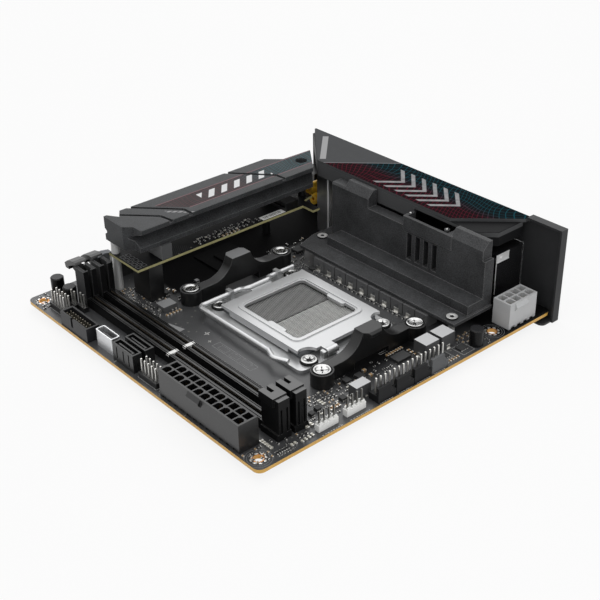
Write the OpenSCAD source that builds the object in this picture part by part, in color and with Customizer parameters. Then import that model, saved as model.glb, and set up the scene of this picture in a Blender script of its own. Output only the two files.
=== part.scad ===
// Small-form computer motherboard, component side up, in millimetres.
// The origin lies midway between the two front standoff holes, on the board's underside.
// +X points to the edge with the fan headers, +Y to the rear ports, +Z up from the board.

/* [Board] */
// Width and depth of the square circuit board
board_w = 170.18; // [169:0.01:172]
// Thickness of the circuit board
pcb_t = 1.6; // [1.2:0.1:2.4]
// Corner radius of the circuit board
board_corner_r = 3.2; // [1:0.1:4]
// Radius of the standoff holes
hole_r = 1.98; // [1.6:0.01:2.1]
// Distance between the two front standoff holes
hole_span = 157.48; // [156:0.01:158]
// Distance from the board's centre to the front standoff holes
hole_front_y = 80.01; // [79:0.01:81]
// Distance from the board's centre to the rear standoff hole by the processor power plug
hole_right_y = 52.07; // [51:0.01:53]
// Distance from the board's centre to the rear standoff hole by the card slot
hole_left_y = 74.93; // [74:0.01:76]

/* [Processor socket] */
// Socket centre, to the right of the board's centre
socket_x = 13.63; // [12:0.01:15]
// Socket centre, behind the board's centre
socket_y = -2.88; // [-4:0.01:-2]
// Width of the socket's plastic body
housing_w = 52; // [48:0.5:53]
// Depth of the socket's plastic body
housing_d = 45; // [42:0.5:46]
// Height of the socket's rim
housing_h = 3.8; // [3.2:0.1:4.2]
// Thickness of the steel frame and of the load plate
steel_t = 1.5; // [1:0.1:1.6]
// Width of the window in the load plate
window_w = 37.6; // [34:0.1:39]
// Depth of the window in the load plate
window_d = 35.6; // [32:0.1:37]
// Radius of the load lever's wire
wire_r = 1.1; // [0.8:0.05:1.2]
// Spacing of the socket screws across the socket
socket_screw_w = 61.2; // [60.4:0.1:62]
// Spacing of the socket screws from front to back
socket_screw_d = 43; // [42:0.1:44]
// Radial running clearance of the hinge pins
pin_clear = 0.06; // [0.02:0.01:0.1]

/* [Cooler brackets] */
// Spacing of the cooler screws across the socket
cooler_w = 90; // [89:0.1:92]
// Spacing of the cooler screws from front to back
cooler_d = 54; // [53:0.1:56]
// Height of the brackets at their screws
bracket_low_h = 7; // [6:0.1:8]
// Height of the brackets at their hooks
bracket_h = 16; // [14:0.1:18]
// Width of the brackets' bars
bracket_w = 5.4; // [5:0.1:6]
// Radius of the brackets' feet
bracket_foot_r = 5; // [4.8:0.1:5.6]
// Radius of the cooler screws' heads
cooler_head_r = 4; // [3.6:0.1:4.2]
// Thickness of the steel plate under the board
backplate_t = 2; // [1.5:0.1:2.4]

/* [Memory slots] */
// Distance from the board's centre to the front memory slot
dimm_front_y = 65; // [64.5:0.1:65.4]
// Distance between the two memory slots
dimm_pitch = 8.6; // [8.4:0.1:9.4]
// Height of the memory slots' rails
dimm_rail_h = 4.6; // [4:0.1:6]
// Width of the memory slots' rails
dimm_rail_w = 5.6; // [5:0.1:6]
// Width of the memory slots' towers
dimm_tower_w = 6.8; // [6.6:0.1:7.2]
// Height of the memory slots' towers
dimm_tower_h = 18.2; // [16.5:0.1:18.6]
// Outward lean of the open memory latches, in degrees
dimm_latch_open = 26; // [20:1:30]

/* [Power connectors] */
// Pitch of the contacts in the two power connectors
power_pitch = 4.2; // [4:0.05:4.25]
// Height of the main power connector
main_power_h = 13; // [11:0.1:14]
// Height of the processor power connector
cpu_power_h = 12.5; // [11:0.1:14]
// Width of each contact's cell
power_cell = 3.5; // [3:0.1:3.6]

/* [Front headers] */
// Height of the internal port shells along the front edge
front_port_h = 7; // [6:0.1:8]
// Pitch of the pin headers
pin_pitch = 2.54; // [2.5:0.01:2.6]
// Side of a square header pin
pin_w = 0.64; // [0.5:0.02:0.7]
// Height of the header pins above the board
pin_h = 9; // [8:0.1:11]
// Height of the drive sockets
drive_socket_h = 8.7; // [8:0.1:10]

/* [Right edge headers] */
// Distance between neighbouring fan headers
fan_pitch = 10.3; // [10.25:0.05:10.5]
// Height of the fan headers' guide walls
fan_wall_h = 7; // [6:0.1:8]
// Height of the fan headers' pins
fan_pin_h = 10.6; // [9:0.1:11.5]
// Height of the light headers' white bases
light_base_h = 3; // [2.4:0.1:3.4]

/* [Voltage regulator] */
// Number of chokes in the regulator's row
choke_count = 10; // [6:1:10]
// Distance between neighbouring chokes
choke_pitch = 7.5; // [7.3:0.05:7.6]
// Height of the chokes
choke_h = 6; // [5:0.1:6.1]
// Height of the heatsink's base above the board
vrm_base_h = 8; // [7.9:0.1:8.6]
// Height of the heatsink's step
vrm_step_h = 12.7; // [11:0.1:14]
// Height of the heatsink's end blocks
vrm_h = 39.2; // [37.8:0.1:39.4]
// Distance from the board's centre to the heatsink's front edge
vrm_front_y = 34; // [33.5:0.1:35]
// Distance from the board's centre to the heatsink's wall
vrm_wall_y = 53; // [52.4:0.1:53.6]

/* [Rear cover and ports] */
// Height of the rear cover above the board
cover_h = 40.4; // [40:0.1:40.6]
// Thickness of the cover's walls and top panel
cover_t = 1.6; // [1.2:0.1:1.8]
// Distance from the board's centre to the cover's front wall
cover_front_y = 59.4; // [59.2:0.1:60]
// Height of the rear plate above the board
plate_top = 41.2; // [41:0.1:42]
// Depth of the rear plate below the board's top
plate_drop = 5; // [4.6:0.1:6]
// Sheet thickness of the rear plate
plate_t = 1; // [0.8:0.1:1.2]
// Travel of the two push buttons
button_travel = 1.2; // [0.6:0.1:1.4]

/* [Storage stack] */
// Height of the raised board's underside
riser_h = 18; // [17:0.1:18.5]
// Thickness of the raised board
riser_t = 1.2; // [1:0.1:1.4]
// Height of the storage heatsink's top
storage_h = 38; // [37:0.1:38.4]
// Height of the storage heatsink's underside
storage_low = 26.2; // [25.6:0.1:26.6]

/* [Card slot] */
// Distance from the board's centre to the card slot
card_slot_x = 76.8; // [76.6:0.1:77]
// Length of the card slot
card_slot_l = 89; // [88:0.5:90]
// Width of the card slot
card_slot_w = 7.4; // [7:0.1:7.6]
// Height of the card slot
card_slot_h = 11.2; // [10.5:0.1:12]

/* [Hidden] */
$fn = 48;
// Smallest working gap between separate pieces
gap = 0.4;
edge = board_w / 2;
hole_places = [
    [hole_span / 2, -hole_front_y],
    [-hole_span / 2, -hole_front_y],
    [hole_span / 2, hole_right_y],
    [-hole_span / 2, hole_left_y]
];
sides = [-1, 1];
// Socket
frame_w = socket_screw_w + 7.8;
frame_d = socket_screw_d + 12;
frame_shift = -1.8;
housing_floor = 2.6;
rim_w = 4.2;
field_t = 0.6;
plate_z = housing_h + 0.3;
plate_front = housing_d / 2 + 1.7;
plate_right = 29.8;
plate_left = -26;
tongue_w = 12;
tongue_l = 1.5;
flange_t = 1.2;
flange_drop = 1.9;
socket_head_r = 4;
socket_head_h = 1.5;
socket_hex_r = 1.8;
lever_x = -frame_w / 2 + wire_r + 0.8;
lever_z = steel_t + socket_head_h + wire_r + 0.5;
crank_x = plate_left - tongue_l - gap - wire_r;
crank_z = lever_z + 1.4;
crank_w = 13;
crank_run = 2;
lever_bend = 2.4;
// Swelling of a bent wire, and the depth to which its straight parts enter an elbow
swell = 1.04;
elbow_seat = 0.3;
lever_y = -frame_d / 2 + frame_shift - wire_r - 1.1;
lug_y = 14;
lug_t = 2;
hinge_x = 32.8;
hinge_z = plate_z - 0.3;
hinge_pin_r = 0.9;
knuckle_r = 1.9;
knuckle_in = 8;
knuckle_out = 14;
// Cooler brackets
post_r = 2.9;
post_h = 1.5;
shank_r = 1.75;
bracket_in = cooler_w / 2 - 4;
bracket_fillet_r = 12;
bracket_fillet_y = 17;
hook_out = cooler_w / 2 + 4;
hook_t = 2.4;
hook_root = 5.3;
hook_tip = 2.9;
hook_chamfer = 1;
cooler_recess = 1.2;
cooler_head_h = 1.7;
// Memory slots
rail_left = -59.5;
rail_right = 66;
tower_l = 10.5;
far_tower_l = 7.5;
module_w = 1.6;
latch_w = dimm_tower_w - 4;
cheek_t = 1.7;
latch_x = rail_left - 4.5;
latch_z = 4;
latch_pin_r = 1;
latch_top = latch_z + norm([latch_x - rail_left + far_tower_l, dimm_tower_h - latch_z]) + 0.3;
key_x = 3.4;
key_w = 2;
// Power connectors
power_wall = 0.6;
main_cols = 12;
cpu_cols = 4;
main_power_w = main_cols * power_pitch + 2 * power_wall;
power_d = 2 * power_pitch + 2 * power_wall;
cpu_power_l = cpu_cols * power_pitch + 2 * power_wall;
power_floor = 3;
power_lug_x = -1.7;
power_lug_w = 8;
power_lug_out = 1.2;
power_pin_w = 1;
main_power_x = 46.4;
main_power_y = -edge + 1.3 + power_d / 2;
cpu_power_x = edge - 1.9 - power_d / 2;
cpu_power_y = 67;
// Front headers
front_y = -edge + 0.4;
usb_l = 21.8;
usb_d = 6.7;
usb_x = -44;
usb_wall = 0.9;
usb_cols = 10;
usb_pitch = 2;
usb_pin_w = 0.5;
type_c_x = -23.6;
type_c_y = -edge + 5.39;
type_c_l = 12.4;
type_c_d = 4.6;
type_c_wall = 0.5;
drive_x = -7.2;
drive_l = 15.3;
drive_d = 4.6;
drive_pitch = 6.3;
drive_y = -edge + 4.39;
header_base_h = 2.5;
panel_cols = 5;
panel_x = 9.6;
aux_x = -edge + 19.09;
header_y = -edge + 5.09;
aux_y = -edge + 7.09;
jumper_places = [[-edge + 26.6, -edge + 14.09], [-edge + 21.2, -edge + 12.6]];
// Right edge
fan_x = edge - 3.6;
fan_y = -17.8;
fan_l = 9.9;
fan_d = 5.6;
fan_base_h = 3.2;
fan_wall_t = 1.2;
fan_wall_l = 7.4;
fan_pins = 4;
light_x = edge - 3.9;
light_ys = [-47.8, -33];
can_r = 3.15;
can_h = 8;
can_places = [[-edge + 3.4, -edge + 14.69], [-edge + 15.2, -edge + 14.29], [edge - 4.2, 39.2]];
// Middle of the strip between the bracket's foot and the fan headers
strip_x = (socket_x + cooler_w / 2 + bracket_foot_r + fan_x - fan_d / 2) / 2;
block_chokes = [
    [fan_x - 6.9, -23.9, 4.8, 7.9, 6],
    [strip_x + 0.2, 18.2, 7.2, 8, 7],
    [strip_x + 0.2, 27.8, 7.2, 8, 7],
    [-34.4, -41.8, 6.2, 7.2, 2.8]
];
chips = [
    [strip_x - 4.4, 7.4, 5.2, 8, 1.2],
    [-35.4, 38.4, 5, 4.4, 1.5]
];
// Voltage regulator
vrm_base_t = 1.6;
vrm_left = -32.5;
vrm_right = 72.3;
choke_x = 20 - (choke_count - 1) * choke_pitch / 2;
choke_w = choke_pitch - 0.5;
choke_y = vrm_front_y - 1;
choke_d = 7;
stage_w = 5;
stage_h = 1;
stage_y = vrm_front_y + 9.5;
vrm_step_y = vrm_front_y + 9.5;
vrm_back_y = cover_front_y - 0.6;
vrm_low = 31;
vrm_bevel = 3.6;
vrm_left_block = [-26, -1];
vrm_box = [22.6, 50];
vrm_box_z = [vrm_low - 1.7, vrm_h - 3];
vrm_box_wall = 1.4;
vrm_slots = 4;
vrm_slot_x = 24.9;
vrm_slot_w = 2.9;
vrm_slot_pitch = 5.2;
vrm_right_block = [51, 70];
vrm_screws_at = [[67.7, 37.8], [-27.4, 47.8]];
vrm_head_r = 2.7;
vrm_head_h = 0.9;
// Rear cover and ports
plate_y = edge + 0.4;
rim_front = edge - 1.5;
rim_back = plate_y + 2.2;
plate_left_x = -74.5;
plate_low_top = cover_h - cover_t - 0.3;
panel_right = 68;
plate_right_x = edge + 2.4;
port_back = plate_y + 2;
stack_r = [51, 66, vrm_back_y + 8.7, 27];
stack_l = [-46.5, -31, vrm_back_y + 2.6, 31.4];
video = [28, 44.5, edge - 12.1, 14.5];
type_c_port = [6, 16, edge - 9.1, 4.2];
audio = [-73, -62.2, edge - 11.7, 22];
button_xs = [-6, -16];
button_z = 9;
button_r = 2.2;
button_stem_r = 1.4;
switch_y = edge - 5.09;
switch_w = 7;
audio_x = (audio[0] + audio[1]) / 2;
audio_zs = [6, 16.5];
audio_r = 4.2;
network_x = (stack_l[0] + stack_l[1]) / 2;
// Place across, height and front end of each antenna socket
jacks = [[-52.1, 21.2, edge - 24.5], [-58.3, 10.8, edge - 16.1]];
jack_r = 3;
// Storage stack
riser_top = riser_h + riser_t;
riser_x = [-66.6, -42.8];
riser_y = [-50, 46.5];
riser_ear = [-35.2, 48.6, 53, 60];
storage_edge = -42.4;
storage_far = -66.8;
groove_w = 1.8;
groove_deep = 1.2;
storage_hole = [-52.8, 56.5];
storage_hole_r = 3;
lower_posts = [[-64.6, -47.6], [-62, 40]];
upper_posts = [[-64.6, -47.6], storage_hole];
riser_post_r = 2;
storage_shank_r = 1.4;
storage_seat = 33.5;
// Card slot
card_slot_front = -43;
card_latch_y = card_slot_front - 3.4;
card_latch_z = 4;
card_groove_w = 1.8;

// Moves a piece from the board's centre and top face into the frame
module on_board()
    translate([0, hole_front_y, pcb_t])
        children();

// Box between two corners
module span(low, high)
    translate(low)
        cube(high - low);

// Flat rectangle with round corners, centred
module round_rect(w, d, r) {
    square([w - 2 * r, d], center = true);
    square([w, d - 2 * r], center = true);
    for (sx = sides, sy = sides)
        translate([sx * (w / 2 - r), sy * (d / 2 - r)])
            circle(r);
}

// Straight round bar from a to b
module rod(a, b, r) {
    v = b - a;
    translate(a)
        rotate([0, acos(v.z / norm(v)), atan2(v.y, v.x)])
            cylinder(r = r, h = norm(v), $fn = 32);
}

// Direction of a flat vector, in degrees
function heading(v) = atan2(v.y, v.x);

// Turn of a flat path at its point i, in degrees
function turn(path, i) = let (t = heading(path[i + 1] - path[i]) - heading(path[i] - path[i - 1]))
    t > 180 ? t - 360 : t < -180 ? t + 360 : t;

// True for a point between two parts of a path
function is_bend(path, i) = i > 0 && i < len(path) - 1;

// Length that an elbow takes off the straight parts at point i
function elbow_cut(path, i, bend) = is_bend(path, i) ? bend * tan(abs(turn(path, i)) / 2) : 0;

// Length that is left off a straight part, which ends just inside the elbow at point i
function rod_cut(path, i, bend) = is_bend(path, i) ? elbow_cut(path, i, bend) - elbow_seat : 0;

// Round wire along a flat path, with slightly swollen elbows
module wire(path, r, bend) {
    for (i = [0 : len(path) - 2]) {
        v = path[i + 1] - path[i];
        start = rod_cut(path, i, bend);
        translate(path[i])
            rotate([0, 90, heading(v)])
                translate([0, 0, start])
                    cylinder(r = r, h = norm(v) - start - rod_cut(path, i + 1, bend), $fn = 32);
    }
    for (i = [1 : len(path) - 2]) {
        t = turn(path, i);
        translate(path[i])
            rotate(heading(path[i] - path[i - 1]))
                translate([-elbow_cut(path, i, bend), sign(t) * bend, 0])
                    rotate(t > 0 ? -90 : 90 + t)
                        rotate_extrude(angle = abs(t), $fn = 96)
                            translate([bend, 0])
                                circle(swell * r, $fn = 32);
    }
}

// Upright profile of Y and Z points, drawn out along X
module along_x(x0, x1)
    translate([x0, 0, 0])
        rotate([90, 0, 90])
            linear_extrude(x1 - x0)
                children();

// Upright profile of X and Z points, drawn out along Y
module along_y(y0, y1)
    translate([0, y1, 0])
        rotate([90, 0, 0])
            linear_extrude(y1 - y0)
                children();

module at_socket()
    translate([socket_x, socket_y, 0])
        children();

module at_cooler_screws()
    at_socket()
        for (sx = sides, sy = sides)
            translate([sx * cooler_w / 2, sy * cooler_d / 2, 0])
                children();

module at_socket_screws()
    at_socket()
        for (sx = sides, sy = sides)
            translate([sx * socket_screw_w / 2, sy * socket_screw_d / 2, 0])
                children();

// Grid of places, centred
module grid(cols, rows, pitch)
    for (i = [0 : cols - 1], j = [0 : rows - 1])
        translate([(i - (cols - 1) / 2) * pitch, (j - (rows - 1) / 2) * pitch, 0])
            children();

// Bare circuit board with its standoff, cooler and socket holes
module pcb()
    color("#141618") on_board()
        translate([0, 0, -pcb_t])
            linear_extrude(pcb_t)
                difference() {
                    round_rect(board_w, board_w, board_corner_r);
                    for (p = hole_places)
                        translate(p)
                            circle(hole_r);
                    at_cooler_screws()
                        circle(post_r + 0.2);
                    at_socket_screws()
                        circle(r = 1.8);
                }

// Steel plate under the board, with the four threaded posts for the cooler screws
module backplate()
    color("#3a3c40") on_board()
        difference() {
            union() {
                translate([socket_x, socket_y, -pcb_t - backplate_t])
                    linear_extrude(backplate_t) {
                        for (sy = sides)
                            translate([0, sy * cooler_d / 2])
                                round_rect(cooler_w + 14, 14, 6);
                        for (sx = sides)
                            translate([sx * socket_screw_w / 2, 0])
                                square([12, cooler_d], center = true);
                    }
                at_cooler_screws()
                    translate([0, 0, -pcb_t - backplate_t])
                        cylinder(r = post_r, h = pcb_t + backplate_t + post_h);
            }
            at_cooler_screws()
                translate([0, 0, -pcb_t - backplate_t - 1])
                    cylinder(r = shank_r + 0.05, h = pcb_t + backplate_t + post_h + 2);
        }

// Arched side view of a cooler bracket
module bracket_profile()
    difference() {
        union() {
            translate([-cooler_d / 2, 0])
                square([cooler_d, bracket_low_h]);
            translate([-bracket_fillet_y, 0])
                square([2 * bracket_fillet_y, bracket_h]);
        }
        for (s = sides)
            translate([s * bracket_fillet_y, bracket_low_h + bracket_fillet_r])
                circle(bracket_fillet_r, $fn = 96);
        translate([-10, -1])
            square([20, 4.4]);
    }

// One cooler bracket: two feet, an arched bar and a hook that points away from the socket
module bracket()
    difference() {
        union() {
            along_x(bracket_in, bracket_in + bracket_w)
                bracket_profile();
            for (s = sides)
                translate([cooler_w / 2, s * cooler_d / 2, 0])
                    cylinder(r = bracket_foot_r, h = bracket_low_h);
            translate([0, 0, bracket_h - hook_t])
                linear_extrude(hook_t)
                    polygon([
                        [bracket_in + 2, -hook_root],
                        [bracket_in + bracket_w, -hook_root],
                        [hook_out, -hook_tip],
                        [hook_out, hook_tip],
                        [bracket_in + bracket_w, hook_root],
                        [bracket_in + 2, hook_root]
                    ]);
        }
        for (s = sides)
            translate([cooler_w / 2, s * cooler_d / 2, 0]) {
                translate([0, 0, -1])
                    cylinder(r = post_r + 0.1, h = post_h + 1.1);
                cylinder(r = shank_r + 0.2, h = bracket_h);
                translate([0, 0, bracket_low_h - cooler_recess])
                    cylinder(r = cooler_head_r + 0.3, h = bracket_h);
            }
        along_y(-hook_root, hook_root)
            polygon([
                [hook_out - hook_chamfer, bracket_h + 0.1],
                [hook_out + 0.1, bracket_h - hook_chamfer],
                [hook_out + 0.1, bracket_h + 0.1]
            ]);
    }

// Cooler bracket on the fan-header side
module cooler_bracket_near()
    color("#1c1d1f") on_board() at_socket()
        bracket();

// Cooler bracket on the storage side
module cooler_bracket_far()
    color("#1c1d1f") on_board() at_socket()
        mirror([1, 0, 0])
            bracket();

// Four cross-head screws that hold the cooler brackets
module cooler_screws()
    color("#d8d8d8") on_board() at_cooler_screws()
        difference() {
            union() {
                translate([0, 0, -pcb_t])
                    cylinder(r = shank_r, h = pcb_t + bracket_low_h - cooler_recess);
                translate([0, 0, bracket_low_h - cooler_recess])
                    cylinder(r = cooler_head_r, h = cooler_head_h * 0.5);
                translate([0, 0, bracket_low_h - cooler_recess + cooler_head_h * 0.5])
                    cylinder(r1 = cooler_head_r, r2 = cooler_head_r * 0.75, h = cooler_head_h * 0.5);
            }
            for (turn = [0, 90])
                rotate(turn)
                    translate([-2.6, -0.55, bracket_low_h - cooler_recess + cooler_head_h - 1])
                        cube([5.2, 1.1, 2]);
        }

// Plastic socket body with a raised rim
module socket_housing()
    color("#2b2c2e") on_board() at_socket()
        difference() {
            linear_extrude(housing_h)
                round_rect(housing_w, housing_d, 1.5);
            translate([0, 0, housing_floor])
                linear_extrude(housing_h)
                    square([housing_w - 2 * rim_w, housing_d - rim_w], center = true);
        }

// Two fields of spring contacts, left and right of the centre line
module contact_field()
    color("#8c8c88") on_board() at_socket()
        for (s = sides)
            translate([s * (housing_w / 2 - rim_w) / 2, 0, housing_floor])
                linear_extrude(field_t)
                    square([housing_w / 2 - rim_w - 0.6, housing_d - rim_w - 0.4], center = true);

// Stamped steel frame with the lever's bearings and the load plate's hinge pins
module socket_frame()
    color("#c9cacc") on_board() at_socket() {
        linear_extrude(steel_t)
            difference() {
                translate([0, frame_shift])
                    round_rect(frame_w, frame_d, 3);
                square([housing_w + 0.8, housing_d + 0.8], center = true);
                for (sx = sides, sy = sides)
                    translate([sx * socket_screw_w / 2, sy * socket_screw_d / 2])
                        circle(1.7);
            }
        for (s = sides) {
            translate([0, s * lug_y, 0])
                along_y(-lug_t / 2, lug_t / 2)
                    difference() {
                        translate([-frame_w / 2, steel_t])
                            square([2 * wire_r + 1.6, lever_z + wire_r + 0.7 - steel_t]);
                        translate([lever_x, lever_z])
                            circle(wire_r + pin_clear);
                    }
            translate([hinge_x - 1.3, s * (knuckle_out + gap + 0.8) - 0.8, steel_t])
                cube([2.6, 1.6, hinge_z + 1.3 - steel_t]);
            rod(
                [hinge_x, s * knuckle_in, hinge_z],
                [hinge_x, s * (knuckle_out + gap + 1), hinge_z],
                hinge_pin_r
            );
        }
    }

// Flat outline of the load plate
module load_plate_outline()
    difference() {
        union() {
            translate([plate_left, -plate_front])
                square([plate_right - plate_left, 2 * plate_front]);
            translate([plate_left - tongue_l, -tongue_w / 2])
                square([tongue_l + 1, tongue_w]);
            for (s = sides)
                translate([(plate_right - 1 + hinge_x) / 2, s * (knuckle_in + knuckle_out) / 2])
                    square([hinge_x - plate_right + 1, knuckle_out - knuckle_in], center = true);
        }
        window_outline();
        for (sx = sides, sy = sides)
            translate([sx * socket_screw_w / 2, sy * socket_screw_d / 2])
                circle(socket_head_r + 1);
    }

// Window in the load plate, with the two lips that press on the processor
module window_outline()
    difference() {
        round_rect(window_w, window_d, 2.5);
        for (s = sides)
            translate([5, s * window_d / 2])
                round_rect(11, 3.2, 1.2);
    }

// Hinged steel plate that presses the processor down
module load_plate()
    color("#dcdddf") on_board() at_socket()
        difference() {
            union() {
                translate([0, 0, plate_z])
                    linear_extrude(steel_t)
                        load_plate_outline();
                translate([0, 0, plate_z + steel_t])
                    linear_extrude(0.5)
                        difference() {
                            round_rect(window_w + 5, window_d + 5, 4);
                            round_rect(window_w + 1.6, window_d + 1.6, 3);
                        }
                for (s = sides) {
                    translate([-20, s * (plate_front - flange_t / 2) - flange_t / 2, plate_z - flange_drop])
                        cube([40, flange_t, flange_drop + 0.2]);
                    rod([hinge_x, s * knuckle_in, hinge_z], [hinge_x, s * knuckle_out, hinge_z], knuckle_r);
                }
            }
            for (s = sides)
                rod(
                    [hinge_x, s * (knuckle_in - 1), hinge_z],
                    [hinge_x, s * (knuckle_out + 1), hinge_z],
                    hinge_pin_r + pin_clear
                );
        }

// Bent wire lever: cranked axle on one side and a long handle along the front
module load_lever()
    color("#d2d3d5") on_board() at_socket() {
        crank = [crank_x - lever_x, crank_z - lever_z];
        axle_end = (lever_y - crank_w / 2) / 2;
        translate([lever_x, 0, lever_z])
            rotate([0, -heading(crank), 0])
                wire(
                    [
                        [0, frame_d / 2 - 3.5],
                        [0, crank_w / 2 + crank_run],
                        [norm(crank), crank_w / 2],
                        [norm(crank), -crank_w / 2],
                        [0, -crank_w / 2 - crank_run],
                        [0, axle_end]
                    ],
                    wire_r,
                    lever_bend
                );
        translate([0, 0, lever_z])
            wire(
                [
                    [lever_x, axle_end + elbow_seat],
                    [lever_x, lever_y],
                    [16, lever_y],
                    [21.5, lever_y - 2.2],
                    [28.5, lever_y + 0.6]
                ],
                swell * wire_r,
                lever_bend
            );
    }

// Four low screws through the socket frame
module socket_screws()
    color("#d8d8d8") on_board() at_socket_screws()
        difference() {
            union() {
                translate([0, 0, -pcb_t])
                    cylinder(r = 1.6, h = pcb_t + steel_t);
                translate([0, 0, steel_t])
                    cylinder(r1 = socket_head_r, r2 = socket_head_r - 0.6, h = socket_head_h);
            }
            translate([0, 0, steel_t + socket_head_h - 0.8])
                cylinder(r = socket_hex_r, h = 2, $fn = 6);
        }

// One memory slot: contact rails, a ribbed tower and a forked tower for the latch
module dimm_slot() {
    half = dimm_tower_w / 2;
    far_left = rail_left - far_tower_l;
    difference() {
        union() {
            span([rail_left - 1, -dimm_rail_w / 2, 0], [rail_right + 1, dimm_rail_w / 2, dimm_rail_h]);
            span([rail_right, -half, 0], [rail_right + tower_l, half, 3]);
            span([rail_right, -half + 0.7, 0], [rail_right + tower_l, half - 0.7, dimm_tower_h]);
            span(
                [rail_right - 0.6, -half, dimm_tower_h - 3.4],
                [rail_right + tower_l - 2.4, half, dimm_tower_h + 0.5]
            );
            span([far_left, -half, 0], [rail_left, half, dimm_tower_h]);
        }
        span([rail_left - 4, -module_w / 2, 1.6], [rail_right + 4, module_w / 2, dimm_tower_h + 2]);
        span(
            [key_x - key_w / 2, -dimm_rail_w, dimm_rail_h - 1],
            [key_x + key_w / 2, dimm_rail_w, dimm_rail_h + 1]
        );
        span([far_left - 1, cheek_t - half, 1.2], [rail_left - 1, half - cheek_t, dimm_tower_h + 1]);
        for (s = sides)
            span(
                [rail_right + tower_l - 0.8, s * 1.4 - 0.5, 3],
                [rail_right + tower_l + 1, s * 1.4 + 0.5, dimm_tower_h - 4]
            );
        translate([latch_x, 0, latch_z])
            rotate([90, 0, 0])
                cylinder(r = latch_pin_r + pin_clear, h = dimm_tower_w + 2, center = true);
        along_y(-half - 1, half + 1)
            polygon([
                [far_left - 1, dimm_tower_h - 3],
                [far_left + 3, dimm_tower_h + 1],
                [far_left - 1, dimm_tower_h + 1]
            ]);
    }
}

module at_dimm(index)
    translate([0, index * dimm_pitch - dimm_front_y, 0])
        children();

module dimm_slot_a()
    color("#1a1b1d") on_board() at_dimm(0)
        dimm_slot();

module dimm_slot_b()
    color("#1a1b1d") on_board() at_dimm(1)
        dimm_slot();

// White key across the middle of each memory slot
module dimm_keys()
    color("#e8e8e4") on_board()
        for (i = [0, 1])
            at_dimm(i)
                translate([key_x, 0, dimm_rail_h - 0.5])
                    cube([key_w, dimm_rail_w, 1], center = true);

// Side view of a memory latch's arm when it stands upright
module latch_arm()
    polygon([
        [latch_x - 1.5, latch_z - 1.6],
        [latch_x + 1.4, latch_z - 1.6],
        [latch_x + 1.4, latch_z + 1.6],
        [latch_x + 0.8, latch_z + 2.6],
        [latch_x + 0.8, latch_top - 2.6],
        [latch_x + 1.8, latch_top - 1.4],
        [latch_x + 1.8, latch_top + 0.5],
        [latch_x - 3, latch_top + 0.5],
        [latch_x - 3, latch_top - 1.6],
        [latch_x - 1.4, latch_top - 3.6],
        [latch_x - 1.4, latch_z + 2]
    ]);

// Side view of a memory latch's arched finger tab
module latch_tab()
    polygon([
        [latch_x + 4, latch_top],
        [latch_x + 4, latch_top + 0.8],
        [latch_x + 2.6, latch_top + 1.8],
        [latch_x - 2.2, latch_top + 2.8],
        [latch_x - 5.9, latch_top + 2.2],
        [latch_x - 6.3, latch_top - 0.2],
        [latch_x - 3.6, latch_top - 1.4],
        [latch_x - 3.5, latch_top]
    ]);

// Memory latch, open: an arm on two pins with a wide finger tab
module dimm_latch()
    translate([latch_x, 0, latch_z])
        rotate([0, -dimm_latch_open, 0])
            translate([-latch_x, 0, -latch_z]) {
                along_y(-latch_w / 2, latch_w / 2)
                    latch_arm();
                along_y(-dimm_tower_w / 2 + 0.4, dimm_tower_w / 2 - 0.4)
                    latch_tab();
                translate([latch_x, 0, latch_z])
                    rotate([90, 0, 0])
                        cylinder(r = latch_pin_r, h = dimm_tower_w - 0.6, center = true);
            }

module dimm_latch_a()
    color("#232426") on_board() at_dimm(0)
        dimm_latch();

module dimm_latch_b()
    color("#232426") on_board() at_dimm(1)
        dimm_latch();

// Cell of a power connector: square, or with two cut corners as a key
module power_cell_outline(keyed) {
    h = power_cell / 2;
    c = keyed ? 0.9 : 0.01;
    polygon([[-h, -h], [h, -h], [h, h - c], [h - c, h], [c - h, h], [-h, h - c]]);
}

// Power connector body: rows of cells open at the top, a latch ramp and notches at the foot
module power_body(cols, height) {
    w = cols * power_pitch + 2 * power_wall;
    difference() {
        union() {
            translate([-w / 2, -power_d / 2, 0])
                cube([w, power_d, height]);
            along_x(power_lug_x - power_lug_w / 2, power_lug_x + power_lug_w / 2)
                polygon([
                    [-power_d / 2 + 0.1, height - 0.1],
                    [-power_d / 2 - power_lug_out, height - 2],
                    [-power_d / 2 - power_lug_out, height - 2.7],
                    [-power_d / 2 + 0.1, height - 4.2]
                ]);
        }
        translate([0, 0, power_floor])
            linear_extrude(height)
                for (i = [0 : cols - 1], j = [0, 1])
                    translate([(i - (cols - 1) / 2) * power_pitch, (j - 0.5) * power_pitch])
                        power_cell_outline((i + j + floor(i / 3)) % 2 == 0);
        for (i = [0 : cols - 1])
            translate([(i - (cols - 1) / 2) * power_pitch - 1.2, -power_d / 2 - 0.1, -0.1])
                cube([2.4, 0.8, 1.2]);
    }
}

module power_pins(cols, height)
    for (i = [0 : cols - 1], j = [0, 1])
        translate([(i - (cols - 1) / 2) * power_pitch, (j - 0.5) * power_pitch, power_floor + height / 4])
            cube([power_pin_w, power_pin_w, height / 2], center = true);

module at_main_power()
    translate([main_power_x, main_power_y, 0])
        children();

module at_cpu_power()
    translate([cpu_power_x, cpu_power_y, 0])
        rotate(90)
            children();

module main_power()
    color("#1e1f21") on_board() at_main_power()
        power_body(main_cols, main_power_h);

module main_power_pins()
    color("#c8a24a") on_board() at_main_power()
        power_pins(main_cols, main_power_h);

module cpu_power()
    color("#c4c6c8") on_board() at_cpu_power()
        power_body(cpu_cols, cpu_power_h);

module cpu_power_pins()
    color("#c8a24a") on_board() at_cpu_power()
        power_pins(cpu_cols, cpu_power_h);

module at_usb_header()
    translate([usb_x, front_y + usb_d / 2, 0])
        children();

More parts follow.
